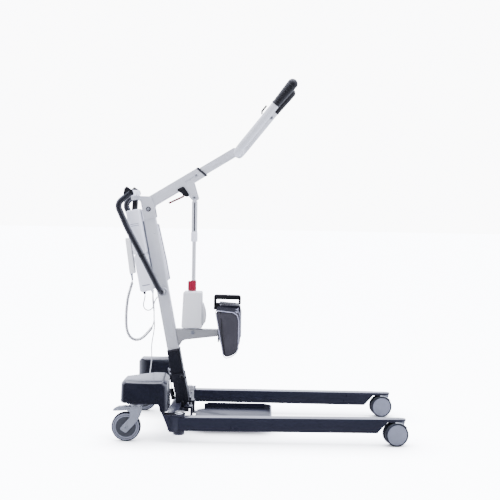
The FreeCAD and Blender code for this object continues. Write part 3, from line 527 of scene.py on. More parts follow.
def front_castor(name, side, at):
    body = f"front_castor_{name}"
    fin = [(-34, 44), (-10, 46), (8, 75), (20, 98), (18, 103.5), (-16, 103.5), (-40, 76)]
    prism(f"hood_fin_{name}", fin, (-6.5, 6.5), CASTOR, body, at, soft=6, bevel=1.5,
          stands_for=[f"front_castor_hood_{name}"], slot="castor_plastic")
    shell = []
    for angle in range(8, 100, 7):
        a = math.radians(angle)
        shell.append((-20 + 53.0 * math.cos(a), 50 + 53.0 * math.sin(a)))
    for angle in range(97, 7, -7):
        a = math.radians(angle)
        shell.append((-20 + 51.0 * math.cos(a), 50 + 51.0 * math.sin(a)))
    shell = [(x, min(z, 103.4)) for x, z in shell if z > 78]
    prism(f"hood_visor_{name}", shell, (-29, 29), VISOR, body, at, bevel=0.6)
    lathe(f"hood_bearing_{name}", rim(19, 101, 109, 2), CASTOR, body, at)
    lathe(f"hood_axle_{name}", rim(4.8, -25.6, 25.6, 1), ZINC, body, at, "Y", FRONT_AXLE)
    for spot, sign in (("outer", side), ("inner", -side)):
        wheel_body = f"front_wheel_{spot}_{name}"
        tread = [(5.1, 8), (30, 8), (42, 8.6), (47, 9), (49.2, 10.2), (50, 13), (50, 25),
                 (49.4, 27.6), (48, 29.3), (45.6, 30), (44.2, 29.9), (43.5, 28.8), (43.5, 26),
                 (5.1, 26)]
        lathe(f"{wheel_body}_tread", tread, TYRE, wheel_body, at, "Y", FRONT_AXLE, side=sign,
              stands_for=[wheel_body], slot="wheel_grey")
        disc = [(0, 30.7), (9, 30.7), (34, 30.1), (35.2, 29.5), (36.6, 29.5), (37.8, 29.9),
                (41, 29.5), (42.8, 28.6), (43.3, 27.4), (43.3, 26.1), (0, 26.1)]
        lathe(f"{wheel_body}_disc", disc, DISC, wheel_body, at, "Y", FRONT_AXLE, side=sign)


def rear_castor(name, side):
    at = place(-513, side * 316, 0)
    body = f"rear_castor_{name}"
    for sign in (1, -1):
        blade = [(-37, 150), (23, 151), (23, 128), (14, 100), (-7, 72), (-36, 41), (-42, 38),
                 (-63, 51), (-64, 58), (-24, 104), (-24, 128), (-37, 132)]
        prism(f"fork_blade_{name}_{sign + 1}", blade, between(sign, 16.5, 20.5), CASTOR, body, at,
              soft=5, bevel=1.2)
        bolt(f"fork_axle_nut_{name}_{sign + 1}", (-41, sign * 20.4, 62.5), 8, body, at, sign,
             CASTOR)
    bridge = [(-22, 129), (23, 129), (23, 152), (-22, 152)]
    prism(f"fork_bridge_{name}", bridge, (-17, 17), CASTOR, body, at, soft=4, bevel=1,
          stands_for=[f"rear_castor_fork_{name}"], slot="castor_plastic")
    lathe(f"fork_flange_{name}", rim(27, 152, 160.6, 2.5), ZINC, body, at)
    lathe(f"fork_kingpin_{name}", rim(6, 158, 170, 0.5), ZINC, body, at)
    lathe(f"pedal_pin_{name}", rim(3, -20.8, 20.8, 0.5), ZINC, body, at, "Y", (-30, 0, 141))
    lathe(f"fork_axle_{name}", rim(5, -20.5, 20.5, 0.5), ZINC, body, at, "Y", REAR_AXLE)
    wheel = f"rear_wheel_{name}"
    tread = [(5.1, -12), (54, -12), (56, -13), (58, -13.8), (60.8, -12), (62.2, -8), (62.5, 0),
             (62.2, 8), (60.8, 12), (58, 13.8), (56, 13), (54, 12), (5.1, 12)]
    lathe(f"{wheel}_tyre", tread, TYRE, wheel, at, "Y", REAR_AXLE, steps=72,
          stands_for=[wheel], slot="tyre_rubber")
    for sign in (1, -1):
        ring = [(42.6, 11), (43.2, 13.4), (44.6, 14.2), (48, 14.4), (48.8, 13), (50.6, 13),
                (51.4, 14.2), (55, 14.2), (56.4, 13.2), (56.4, 11)]
        lathe(f"{wheel}_ring_{sign + 1}", ring, DISC, wheel, at, "Y", REAR_AXLE, steps=72,
              side=sign)
        groove = [(48.9, 12.6), (48.9, 13.3), (50.5, 13.3), (50.5, 12.6)]
        lathe(f"{wheel}_groove_{sign + 1}", groove, HUB, wheel, at, "Y", REAR_AXLE, steps=72,
              side=sign)
        disc = [(5.2, 12.6), (12, 15.6), (16, 15.6), (18, 13.2), (38, 12.6), (41, 13.2),
                (42.8, 13.4), (42.8, 11), (5.2, 11)]
        lathe(f"{wheel}_disc_{sign + 1}", disc, HUB, wheel, at, "Y", REAR_AXLE, steps=60,
              side=sign)
    pedal = [(-24, 149), (-24, 134), (-60, 131), (-95, 129), (-97, 135), (-75, 147), (-46, 151)]
    prism(f"pedal_shape_{name}", pedal, (-15.5, 15.5), CASTOR, f"brake_pedal_{name}", at, soft=4,
          bevel=1.6, stands_for=[f"brake_pedal_{name}"], slot="castor_plastic")
    for step in range(4):
        x = -92 + 6 * step
        box(f"pedal_rib_{name}_{step}", (x, x + 2.4), (-13, 13), (136.4 + 3.1 * step,
                                                                  139.4 + 3.1 * step),
            BLACK, f"brake_pedal_{name}", at, soft=0.8, bevel=0.4)


# ---------------------------------------------------------------- footplate

def footplate():
    rounded("footplate", TRAY, "footplate", 1.6, 3)
    edge = [(-236, -157.5, 74), (28, -157.5, 74), (57, -130, 74), (57, 130, 74),
            (28, 157.5, 74), (-236, 157.5, 74)]
    pipe("tray_rim", edge, 2.6, CHASSIS, "footplate", bend=22)


# ---------------------------------------------------------------- mast

def mast():
    prism("socket_shape", [(-28, 150), (28, 150), (28, 289), (-28, 289)], (-31, 31), LOWER, "mast",
          MAST, soft=5, bevel=2, stands_for=["mast_socket"], slot="chassis_paint")
    box("socket_lip", (-29, 29), (-32, 32), (282, 290), SEAM, "mast", MAST, soft=4, bevel=1)
    box("latch_catch", (-37, -27), (-6, 6), (192, 200), ZINC, "mast", MAST, soft=1.5, bevel=0.8)
    prism("mast_shape", [(-26, 180), (26, 180), (26, 900), (-26, 900)], (-27, 27), SILVER, "mast",
          MAST, soft=6, bevel=3, stands_for=["mast_tube"], slot="silver_paint")
    duct = [(24, 596), (39, 602), (39, 690), (33, 856), (24, 862)]
    prism("mast_duct", duct, (-16, 16), BOX, "mast", MAST, soft=3, bevel=2)
    # A darker strip along the duct's front edge: painted shade on that edge.
    lip = [(38.6, 603), (41, 604), (41, 690), (35, 855), (32.6, 855), (38.6, 690)]
    prism("mast_duct_shaded_edge", lip, (-15, 15), DISC, "mast", MAST, bevel=0.4)
    for index, height in enumerate((360, 585, 820)):
        bolt(f"mast_screw_{index}", (12, -26.8, height), 3.4, "mast", MAST, -1, SILVER)
    head()
    for name, side in SIDES.items():
        push_handle(name, side)


def head():
    outline = [(-25, 886), (31, 886), (31, 945), (24, 980), (10, 987), (-14, 992), (-36, 998),
               (-38, 1024), (-62, 1024), (-64, 980), (-36, 980), (-25, 968)]
    for sign in (1, -1):
        prism(f"head_cheek_{sign + 1}", outline, between(sign, 27.2, 33), SILVER, "mast", MAST,
              soft=7, bevel=1.6)
        ring = [(0, 33), (11, 33), (11, 34.6), (10, 36), (7.5, 36.4), (0, 36.4)]
        lathe(f"boom_bolt_ring_{sign + 1}", ring, BLACK, "mast", MAST, "Y", (3.7, 0, 929.4),
              side=sign)
        cap = [(0, 35.6), (6.3, 35.6), (6.3, 36.8), (5.2, 37.8), (0, 38.2)]
        lathe(f"boom_bolt_cap_{sign + 1}", cap, ZINC, "mast", MAST, "Y", (3.7, 0, 929.4),
              side=sign)
        for spot in ((-14, 900), (20, 900)):
            bolt(f"head_screw_{sign + 1}_{spot[0] + 20}", (spot[0], sign * 33, spot[1]), 3.6,
                 "mast", MAST, sign, SILVER)
    box("head_saddle", (-26, 26), (-27, 27), (900, 904), SILVER, "mast", MAST, soft=1, bevel=0.6,
        stands_for=["mast_head"], slot="silver_paint")
    box("handle_crossbar", (-62, -38), (-113, 113), (998, 1024), BOX, "mast", MAST, soft=5,
        bevel=2)


def push_handle(name, side):
    out = side * 126
    route = [(-433, side * 28, 612), (-433, out, 612), (-507, out, 753), (-585, out, 896),
             (-632, out, 1001), (-573, out, 1051)]
    line = rounded_line([Vector(p) for p in route], 34)
    pipe(f"handle_tube_{name}", line, 14, HANDLE, "mast", stands_for=[f"push_handle_{name}"])
    cap = [(-604, 1040), (-600, 1068), (-590, 1079), (-563, 1061), (-559, 1046), (-563, 1040),
           (-576, 1050)]
    prism(f"handle_cap_{name}", cap, (out - 10, out + 10), BLACK, "mast", soft=4, bevel=2.5)
    clamp = [(14.4, side * 28), (17, side * 28), (18, side * 30), (18, side * 40),
             (16.5, side * 42), (14.4, side * 42)]
    lathe(f"handle_clamp_{name}", clamp, ZINC, "mast", WORLD, "Y", (-433, 0, 612))
    end = Vector((-586, out, 900)) - Vector((-507, out, 753))
    joint = Vector((-520, out, 777))
    turn = Matrix.Translation(joint * MM) @ end.to_track_quat("Z", "Y").to_matrix().to_4x4()
    lathe(f"handle_ring_{name}", [(13.8, -4), (14.7, -4), (15.1, 0), (14.7, 4), (13.8, 4)], BLACK,
          "mast", turn)


def control_box():
    box("unit_shell", (-95, -33), (-65, 65), (570, 735), BOX, "mast", MAST, soft=12, bevel=12, steps=6,
        stands_for=["control_box"], slot="box_plastic")
    box("unit_joint", (-92, -35), (-62, 62), (728, 737), BOX, "mast", MAST, soft=8, bevel=1)
    box("battery_track", (-34, -26), (-20, 20), (575, 880), TRACK, "mast", MAST, soft=2, bevel=1)
    box("box_bracket_low", (-34, -26), (-36, 36), (600, 640), CASTOR, "mast", MAST, soft=2, bevel=1)
    panel = [(-97, 600), (-94, 600), (-94, 712), (-97, 712)]
    prism("unit_panel", panel, (-42, 42), MOTOR, "mast", MAST, soft=1.2, bevel=0.8)
    for index, height in enumerate((622, 640, 658)):
        lathe(f"unit_light_{index}", rim(2.6, -98.2, -96.2, 0.6),
              RED if index == 0 else DISC, "mast", MAST, "X", (0, 22, height), steps=20)
    box("unit_groove", (-80, -46), (-65.6, -64.4), (596, 600), DISC, "mast", MAST, soft=1.5,
        bevel=0.3)
    for name, at, radius in (("handset", (-42, -45), 6), ("spread", (-40, -58), 6),
                             ("lift", (-80, -30), 7)):
        gland = [(0, 571), (radius + 1, 571), (radius + 1, 566), (radius - 1, 565),
                 (radius - 1.6, 558), (2.7, 555), (0, 555)]
        lathe(f"gland_{name}", gland, SEAM if name == "lift" else BOX, "mast", MAST,
              centre=(at[0], at[1], 0), steps=28)


def battery():
    box("battery_shell", (-95, -33.6), (-65, 65), (737.5, 938), BOX, "battery", MAST, soft=12,
        bevel=12, steps=6, stands_for=["battery_pack"], slot="box_plastic")
    post = [(-73, 934), (-60, 981), (-39, 981), (-51, 934)]
    for sign in (1, -1):
        prism(f"battery_bail_post_{sign + 1}", post, between(sign, 18, 26), BLACK, "battery",
              MAST, soft=4, bevel=2)
    grip = [(-63.2, 968), (-60, 981), (-39, 981), (-42.2, 968)]
    prism("battery_bail_grip", grip, (-24, 24), BLACK, "battery", MAST, soft=4, bevel=2)
    for index, height in enumerate((866, 874)):
        box(f"battery_vent_{index}", (-84, -46), (-65.5, -64.6), (height, height + 2), DISC,
            "battery", MAST, soft=0.6, bevel=0.2)


def handset():
    outline = [(-29, -80), (29, -80), (29, 80), (-29, 80)]
    # The outline's corners are round already, and the tiny radius also limits the rims' bevel.
    prism("handset_shell", soften(outline, 12, 6), (-11, 11), HANDSET_SHELL, "handset", HANDSET,
          soft=0.01, bevel=3.5, axis="X", stands_for=["handset"], slot="box_plastic")
    relief = [(0, -79), (6.5, -79), (6.2, -84), (5.2, -88), (4.4, -100), (3.6, -112), (0, -112)]
    lathe("handset_relief", relief, CASTOR, "handset", HANDSET, centre=(-6, 0, 0), steps=28)
    hook = [(11, 0, 40), (19, 0, 46), (20, 0, 62), (12, 0, 70)]
    pipe("handset_hook", hook, 2.2, BLACK, "handset", HANDSET, bend=5)
    box("handset_face", (-11.8, -10.6), (-20, 20), (-14, 56), CASTOR, "handset", HANDSET,
        soft=0.5, bevel=0.3)
    for name, height in (("up", 30), ("down", 0)):
        key = [(0, 8.7), (8, 8.7), (8, 11.6), (7.2, 12.5), (5, 12.7), (0, 12.2)]
        lathe(f"key_{name}_cap", key, BLACK, f"key_{name}", HANDSET, "X", (0, 0, height),
              side=-1, stands_for=[f"key_{name}"], slot="castor_plastic", steps=32)
    stem = [(0, 66), (8, 66), (8, 70), (13, 70), (14, 71.5), (14, 77), (12.5, 79.4), (8, 80),
            (0, 79.6)]
    lathe("stop_button", stem, RED, "emergency_stop", MAST, "Y", (-62, 0, 690),
          stands_for=["emergency_stop"], slot="red_plastic")


def fold_latch():
    hook = [(-41, 158), (-41, 206), (-37.6, 206), (-37.6, 182), (-32, 180), (-32, 158)]
    prism("latch_hook", hook, (-6, 6), ZINC, "fold_latch", MAST, bevel=0.7,
          stands_for=["fold_latch"], slot="black_plastic")
    for y in (-4, 4):
        pipe(f"latch_wire_{y + 4}", [(-39, y, 160), (-41, y, 110)], 1.5, ZINC, "fold_latch", MAST)
    profile = [(0, 62), (8, 62), (10, 64)]
    for ring in range(9):
        low = 66 + ring * 5
        profile += [(10, low), (10, low + 2.6), (8.8, low + 3.2), (8.8, low + 4.4)]
    profile += [(10, 111), (8, 112.5), (0, 112.5)]
    lathe("latch_pull", profile, RUBBER, "fold_latch", MAST, centre=(-42, 0, 0), steps=32)


# ---------------------------------------------------------------- boom and arms

def boom():
    low, high = -2.6, 48.4
    outline = [(-8, high), (-16, 20), (-16, -8), (-8, -16), (20, -16), (34, low), (301, low),
               (283, high)]
    prism("boom_shape", outline, (-25, 25), SILVER, "boom", BOOM, soft=7, bevel=4, steps=4,
          stands_for=["boom_tube"], slot="silver_paint")
    seal = [(293, low - 0.8), (304, low - 0.8), (286, high + 0.8), (275, high + 0.8)]
    prism("boom_seal", seal, (-26, 26), SEAM, "boom", BOOM, soft=3, bevel=1.5)
    cheek = [(186, 4), (238, 4), (225, -42), (217, -76), (190, -76), (184, -44)]
    for sign in (1, -1):
        prism(f"bracket_cheek_{sign + 1}", cheek, between(sign, 20.5, 25.4), SILVER, "boom", BOOM,
              soft=10, bevel=1.4)
        bolt(f"bracket_bolt_{sign + 1}", (203.7, sign * 25.2, -59.3), 8.5, "boom", BOOM, sign)
    for tick in range(9):
        x = 205 + 6 * tick
        tall = 11 if tick % 4 == 0 else 7
        for sign in (1, -1):
            box(f"scale_tick_{tick}_{sign + 1}", (x, x + 1.2), between(sign, 24.9, 25.25),
                (24 - tall, 24), TICK, "boom", BOOM, soft=0.3, bevel=0.05)
    screw = [(0, 25), (6, 25), (6, 27.4), (4.8, 28.6), (0, 28.6)]
    for sign in (1, -1):
        lathe(f"boom_stop_screw_{sign + 1}", screw, ZINC, "boom", BOOM, "Y", (262, 0, 22),
              side=sign)
    paddle = [(152, 11), (182, 9), (188, 3), (190, -36), (184, -42), (176, -42), (167, -30),
              (159, -8)]
    prism("lock_paddle", paddle, (-31.4, -25.6), BLACK, "boom_lock", BOOM, soft=6, bevel=1.5,
          stands_for=["boom_lock"], slot="black_plastic")
    strip = [(92, -19), (92, -28), (160, -35), (172, -32), (172, -24), (160, -26)]
    prism("lock_strip", strip, (-31.2, -17.6), STRIP, "boom_lock", BOOM, bevel=0.8)
    bolt("lock_screw", (176, -31.2, 0), 4, "boom_lock", BOOM, -1, BLACK)

    prism("inner_boom_shape", [(110, 3.2), (466, 3.2), (474, 9), (474, 37), (466, 42.6),
                               (110, 42.6)], (-19.7, 19.7), SILVER, "inner_boom", BOOM, soft=4,
          bevel=3, stands_for=["inner_boom"], slot="silver_paint")
    arms()


def arms():
    route = [(0, ARM_OUT, 262), (0, ARM_OUT, 0), (0, -ARM_OUT, 0), (0, -ARM_OUT, 262)]
    pipe("arm_shape", route, 17, SILVER, "inner_boom", ARM, bend=55, stands_for=["arm_tube"])
    weld = [(17, -23), (19.5, -21.5), (19.5, 21.5), (17, 23)]
    lathe("arm_weld", weld, SILVER, "inner_boom", ARM, "Y")
    for name, side in SIDES.items():
        profile = [(0, 258), (17.2, 258), (19.4, 260), (19.8, 266), (18.0, 270)]
        for ring in range(13):
            low = 274 + ring * 7
            wide = 17.6 + (low - 262) * 0.0448
            profile += [(wide, low), (wide + 0.9, low + 1.2), (wide + 1.1, low + 4.6),
                        (wide + 0.2, low + 5.8)]
        profile += [(23 * math.cos(a), 373.5 + 23 * math.sin(a))
                    for a in [math.radians(d) for d in range(-15, 90, 12)]]
        profile += [(0, 396.5)]
        lathe(f"grip_shape_{name}", profile, RUBBER, "inner_boom", ARM, centre=(0, side * ARM_OUT, 0),
              stands_for=[f"grip_{name}"], slot="grip_rubber", steps=48)
        peg = [(0, 16), (6, 16), (6, 20), (4.6, 22), (4.6, 36), (5.5, 38), (9, 40), (10, 44),
               (9, 49), (5, 51), (0, 51.4)]
        more = {"stands_for": ["sling_pegs"], "slot": "zinc"} if side > 0 else {}
        lathe(f"peg_{name}", peg, ZINC, "inner_boom", ARM, "Y", (4, side * ARM_OUT, 226),
              side=-side, **more)
        clip = [(-18.4, 190), (-18.6, 196), (-23, 202), (-23.5, 232), (-31, 233), (-31, 200),
                (-22, 189.5)]
        prism(f"clip_{name}", clip, between(side, 180, 192), BLACK, f"sling_clip_{name}", ARM,
              soft=2, bevel=0.8, stands_for=[f"sling_clip_{name}"], slot="grip_rubber")


# ---------------------------------------------------------------- actuator

def actuator():
    casing = [(-350, 449), (-343, 612), (-260, 612), (-256, 449)]
    prism("motor_shell", casing, (-42, 42), MOTOR, "actuator", soft=8, bevel=7, steps=5,
          stands_for=["lift_motor"], slot="box_plastic")
    gears = [(-270, 460), (-270, 566), (-254, 560), (-244, 530), (-241, 500), (-244, 474),
             (-254, 460)]
    prism("motor_gears", gears, (-26, 26), MOTOR, "actuator", soft=8, bevel=5, steps=4)
    box("motor_lug", (-312, -288), (-9.5, 9.5), (415, 452), ZINC, "actuator", soft=9, bevel=1)
    for x, z in ((-331, 460), (-259, 460), (-326, 600), (-270, 600)):
        bolt(f"motor_screw_{-x}_{z}", (x, -41.6, z), 3.2, "actuator", side=-1, look=MOTOR)
    lathe("motor_collar", [(11, 608), (22, 608), (22, 612), (20, 614), (11, 614)], MOTOR,
          "actuator", centre=LIFT_AXIS)
    skin("drive_screw", ZINC)
    ring = [(9.2, 614.4), (11.6, 614.4), (13, 616)]
    for step in range(7):
        low = 619 + 5.4 * step
        ring += [(13, low), (13, low + 3.4), (12.4, low + 3.9), (12.4, low + 4.9)]
    ring += [(13, 658), (12, 661.4), (9.2, 662)]
    lathe("release_ring", ring, RED, "release", centre=LIFT_AXIS,
          stands_for=["lowering_release"], slot="red_plastic")
    box("release_lever", (-325, -308), (-11, 11), (615, 659), RED, "release", soft=5, bevel=2.5)
    lathe("piston_shape", [(0, 588), (9, 588), (9, 880), (0, 880)], CHROME, "piston",
          centre=LIFT_AXIS, stands_for=["piston_rod"], slot="chrome_rod")
    tube = [(0, 878), (13, 878), (13, 1014), (12.4, 1018), (0, 1018)]
    lathe("push_tube_shape", tube, SILVER, "piston", centre=LIFT_AXIS,
          stands_for=["push_tube"], slot="silver_paint")
    wiper = [(9.2, 836), (13.8, 836), (15, 838), (15, 872), (14.4, 878), (13, 880), (9.2, 880)]
    lathe("push_wiper", wiper, BOX, "piston", centre=LIFT_AXIS)
    box("push_groove", (-302, -296.5), (-13.5, -9), (884, 1012), SEAM, "piston", soft=1, bevel=0.5)
    lathe("push_eye", rim(14, -12, 12, 2), SILVER, "piston", axis="Y", centre=(-300, 0, 1035))
    lathe("push_pin", rim(6, -19.5, 19.5, 1), ZINC, "piston", axis="Y", centre=(-300, 0, 1035))
    box("push_neck", (-309, -291), (-9, 9), (1012, 1035), SILVER, "piston", soft=3, bevel=1)


# ---------------------------------------------------------------- knee support

def knee():
    web = [(-377.4, 442), (-187, 442), (-187, 412), (-330, 394), (-345, 388), (-361, 361)]
    for sign in (1, -1):
        prism(f"knee_web_{sign + 1}", web, between(sign, 10.5, 20), KNEE_ARM, "mast", soft=4,
              bevel=2)
        bolt(f"motor_pin_head_{sign + 1}", (-300, sign * 20, 427), 9, "mast", side=sign,
             look=CASTOR)
    for name, x in (("back", (-370, -322)), ("front", (-278, -187))):
        top = [(x[0], 442), (x[1], 442), (x[1], 414 if name == "front" else 400), (x[0], 404)]
        prism(f"knee_fill_{name}", top, (-12, 12), KNEE_ARM, "mast", bevel=1)
    box("knee_rail", (-187, -181), (-17, 17), (385, 498), ZINC, "mast", soft=2, bevel=1,
        stands_for=["knee_arm"], slot="silver_paint")
    back = -180.2
    spine = [(back, 557), (-86, 555), (-84, 480), (-90, 390), (-106, 360), (-140, 345),
             (-164, 352), (back, 400)]
    prism("spine_shape", spine, (-26, 26), COVER, "knee", soft=12, bevel=4,
          stands_for=["knee_spine"], slot="cover_plastic")
    top = [(-207, 578), (-207, 593), (-200, 600), (-92, 599), (-85, 591), (-85, 578)]
    prism("knee_handle_top", top, (-13, 13), BLACK, "knee", soft=4, bevel=3,
          stands_for=["knee_handle"], slot="black_plastic")
    base = [(-207, 532), (-207, 562), (-85, 562), (-85, 557.5), (-180.7, 557.5), (-180.7, 532)]
    prism("knee_handle_base", base, (-13, 13), BLACK, "knee", soft=1.5, bevel=1)
    for label, x, low in (("back", (-207, -195), 552), ("front", (-96, -85), 558)):
        box(f"knee_handle_{label}", x, (-13, 13), (low, 590), BLACK, "knee", soft=2, bevel=2)
    for name, side in SIDES.items():
        knee_pad(name, side)


CUSHION = [(-190, 547), (-112, 539), (-96, 528), (-89, 507), (-89, 386), (-98, 365), (-118, 349),
           (-141, 342), (-153, 354)]
PAD_MIDDLE = 113.5      # from the lift's middle to a pad's middle
PAD_HALF = 84.0         # half a pad's width
CUP_HALF = 57           # half the width of the hollow for the knee


def cup_depth(across):
    """How far forward the hollow's face lies, at a distance across from the pad's middle."""
    return -64 - math.sqrt(62.0 ** 2 - across ** 2)


def knee_pad(name, side):
    middle = side * PAD_MIDDLE
    shaped = soften(CUSHION, 9, 4)
    made = bmesh.new()
    lanes = 26
    rings = []
    for lane in range(lanes + 1):
        across = -PAD_HALF + 2 * PAD_HALF * lane / lanes
        hollow = abs(across) < CUP_HALF
        ring = []
        for x, z in shaped:
            if hollow and x > cup_depth(across):
                x = cup_depth(across) - 1.5
            ring.append(made.verts.new(mm(x, middle + across, z)))
        rings.append(ring)
    for low, high in zip(rings, rings[1:]):
        for index in range(len(shaped)):
            after = (index + 1) % len(shaped)
            made.faces.new((low[index], low[after], high[after], high[index]))
    made.faces.new(rings[0])
    made.faces.new(rings[-1])
    pad = from_bmesh(f"knee_pad_shape_{name}", made, PAD, "knee",
                     stands_for=[f"knee_pad_{name}"], slot="pad_cover", sharp=60)
    pad.parent = None
    puff(pad, 4.0)
    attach(pad, "knee")
    piping(name, side, middle, shaped)


def puff(pad, cap):
    """Fill the cushion by a short pressure simulation, kept within cap millimetres."""
    bpy.context.view_layer.objects.active = pad
    remesh = pad.modifiers.new("remesh", "REMESH")
    remesh.mode = "VOXEL"
    remesh.voxel_size = 0.005
    apply(pad)
    start = [vertex.co.copy() for vertex in pad.data.vertices]
    cloth = pad.modifiers.new("cloth", "CLOTH")
    settings = cloth.settings
    settings.quality = 5
    settings.mass = 0.3
    settings.use_pressure = True
    settings.uniform_pressure_force = 4.0
    settings.effector_weights.gravity = 0.0
    settings.tension_stiffness = 25
    settings.compression_stiffness = 25
    settings.bending_stiffness = 2.0
    cloth.point_cache.frame_start = 1
    cloth.point_cache.frame_end = 20
    for moment in range(1, 16):
        bpy.context.scene.frame_set(moment)
    apply(pad)
    bpy.context.scene.frame_set(1)
    limit = cap * MM
    for vertex, first in zip(pad.data.vertices, start):
        step = vertex.co - first
        if step.length > limit:
            vertex.co = first + step.normalized() * limit
    smooth = pad.modifiers.new("smooth", "SMOOTH")
    smooth.iterations = 4
    smooth.factor = 0.5
    apply(pad)
    fine = pad.modifiers.new("fine", "SUBSURF")
    fine.levels = fine.render_levels = 1
    apply(pad)
    pad.data.shade_smooth()


def apply(piece):
    """Bake the piece's modifiers into its mesh."""
    mesh = mesh_of(piece)
    look = piece.data.materials[0]
    piece.modifiers.clear()
    piece.data = mesh
    if not mesh.materials:
        mesh.materials.append(look)


def piping(name, side, middle, shaped):
    """The welt round the pad's outer and inner rims and over its top, in a light colour that also
    paints the rims' highlight, its cap, and a dark seam line that paints the shade of its crease.
    """
    # Light welts on both rims, real piping whose colour also paints the rims' edge highlight.
    for label, across in (("outer", side * PAD_HALF), ("inner", -side * PAD_HALF)):
        loop = []
        centre = Vector((-145, 450))
        for x, z in shaped:
            spot = Vector((x, z))
            spot += (spot - centre).normalized() * 1.2
            loop.append((spot.x, middle + across, spot.y))
        pipe(f"pad_piping_{label}_{name}", loop, 2.0, PIPING_AND_HIGHLIGHT, "knee", closed=True)
    front = []
    for step in range(25):
        across = -PAD_HALF + 2 * PAD_HALF * step / 24
        x = -97.0
        if abs(across) < CUP_HALF:
            x = min(x, cup_depth(across)) + 0.5
        front.append((x, middle + across, 540 - abs(x + 97) * 0.1))
    pipe(f"pad_piping_top_{name}", front, 2.0, PIPING_AND_HIGHLIGHT, "knee")
    cap = [(-189, 545), (-112, 538.5), (-100, 532), (-99, 537), (-111, 543.5), (-188, 550)]
    prism(f"pad_cap_{name}", cap, (middle - 82, middle + 82), MATT, "knee", bevel=0.8)
    outer = middle + side * 84.6
    # A dark seam line down the outer face, painting the shade of the cushion's crease.
    crease = [(-166, outer, 543), (-160, outer, 440), (-146, outer, 352)]
    pipe(f"pad_crease_shade_{name}", crease, 1.6, RUBBER, "knee", bend=60)


# ---------------------------------------------------------------- cords

CURLY = [(-575.1, -30, 677.75), (-571.9, -30, 655), (-580, -31, 625), (-589.5, -33, 592),
         (-594.5, -36, 557), (-597, -39, 520), (-597.5, -41, 484), (-596, -43, 451),
         (-588, -44, 419), (-571, -45, 398), (-546, -46, 391.5), (-521, -46, 403),
         (-499, -46, 427), (-479, -46, 452)]
HANDSET_LEAD = [(-479, -46, 452), (-471, -46, 476), (-471, -45, 509), (-475, -45, 543),
                (-480, -45, 576), (-478.3, -45, 603.8)]
SPREAD_LEAD = [(-476.4, -58, 604.2), (-474, -58, 570), (-470, -57, 534), (-471, -58, 498),
               (-467, -60, 463), (-470, -63, 430), (-475, -71, 399), (-477, -85, 371),
               (-473, -108, 342), (-470, -137, 312), (-471, -168, 281), (-471, -194, 262),
               (-471, -217.5, 262)]
LIFT_LEAD = [(-514.8, -30, 592.5), (-517, -30, 573), (-523, -30, 552.5), (-518, -30, 532),
             (-500, -29, 523), (-482, -27, 532), (-475, -24, 552), (-471, -21, 571),
             (-460, -18, 586)]


def nurbs(name, points, radius):
    curve = bpy.data.curves.new(name, "CURVE")
    curve.dimensions = "3D"
    curve.resolution_u = 8
    curve.bevel_depth = radius
    curve.bevel_resolution = 5
    curve.use_fill_caps = radius > 0
    spline = curve.splines.new("NURBS")
    spline.points.add(len(points) - 1)
    for point, spot in zip(spline.points, points):
        point.co = (*spot, 1)
    spline.order_u = 3
    spline.use_endpoint_u = True
    piece = bpy.data.objects.new(name, curve)
    bpy.context.scene.collection.objects.link(piece)
    return piece


def centreline(points):
    """Points along the smooth line of a route."""
    bare = nurbs("route", points, 0)
    line = [vertex.co.copy() for vertex in mesh_of(bare).vertices]
    bpy.data.objects.remove(bare)
    return line


def length_of(line):
    return sum((b - a).length for a, b in zip(line, line[1:]))


def helix(line, radius, pitch, straight_start, straight_end, per_turn=14, easing=0.012):
    """Points that wind round a line, easing in and out at its straight ends, in metres."""
    total = length_of(line)
    spots = []
    travelled = 0.0
    index = 0
    side = (line[1] - line[0]).cross(Vector((0, 1, 0))).normalized()
    along = 0.0
    while along < total:
        while index < len(line) - 2 and travelled + (line[index + 1] - line[index]).length < along:
            travelled += (line[index + 1] - line[index]).length
            index += 1
        step = line[index + 1] - line[index]
        spot = line[index] + step * ((along - travelled) / step.length)
        forward = step.normalized()
        side = (side - forward * side.dot(forward)).normalized()
        up = forward.cross(side)
        ease = min(1, max(0, (along - straight_start) / easing),
                   max(0, (total - straight_end - along) / easing))
        angle = 2 * math.pi * along / pitch
        if ease > 0:
            spots.append(spot + (side * math.cos(angle) + up * math.sin(angle)) * radius * ease)
            along += pitch / per_turn
        else:
            spots.append(spot)
            along += easing
    if (line[-1] - spots[-1]).length < easing / 2:
        spots.pop()
    spots.append(line[-1])
    return spots


LEAD_RADIUS = 0.0025
CURLY_WIRE = 0.0024


def cords():
    route = [mm(*point) for point in CURLY + HANDSET_LEAD[1:]]
    winding = helix(centreline(route), 0.0051, 0.0066, 0.020, 0.148)
    curly = nurbs("handset_cord", winding, CURLY_WIRE)
    curly.data.resolution_u = 2
    curly.data.bevel_resolution = 3
    curly.data.materials.append(CORD)
    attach(curly, "mast")
    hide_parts("curly_cord", "handset_lead")

    lift = nurbs("lift_lead_shape", [mm(*point) for point in LIFT_LEAD], LEAD_RADIUS)
    lift.data.materials.append(CORD)
    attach(lift, "mast")
    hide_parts("lift_lead")

    path = [mm(*point) for point in SPREAD_LEAD]
    solid = nurbs("spread_route", path, LEAD_RADIUS)
    mesh = mesh_of(solid)
    bpy.data.objects.remove(solid)
    mesh.materials.clear()
    mesh.materials.append(CORD)
    mesh.shade_smooth()
    spread = bpy.data.objects.new("spread_lead_shape", mesh)
    bpy.context.scene.collection.objects.link(spread)
    line = centreline(path)
    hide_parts("spread_lead")
    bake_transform(spread)


# ---------------------------------------------------------------- stage, lights and camera

FLOOR_GLOW = 9.4
ROOM_GLOW = 10.5


def maths(tree, operation, first, second):
    """The result of a maths node on an output and an output or a plain number."""
    node = add_node(tree, "Math")
    node.operation = operation
    for socket, value in zip(node.inputs, (first, second)):
        if isinstance(value, float):
            socket.default_value = value
        else:
            tree.links.new(value, socket)
    return node.outputs["Value"]


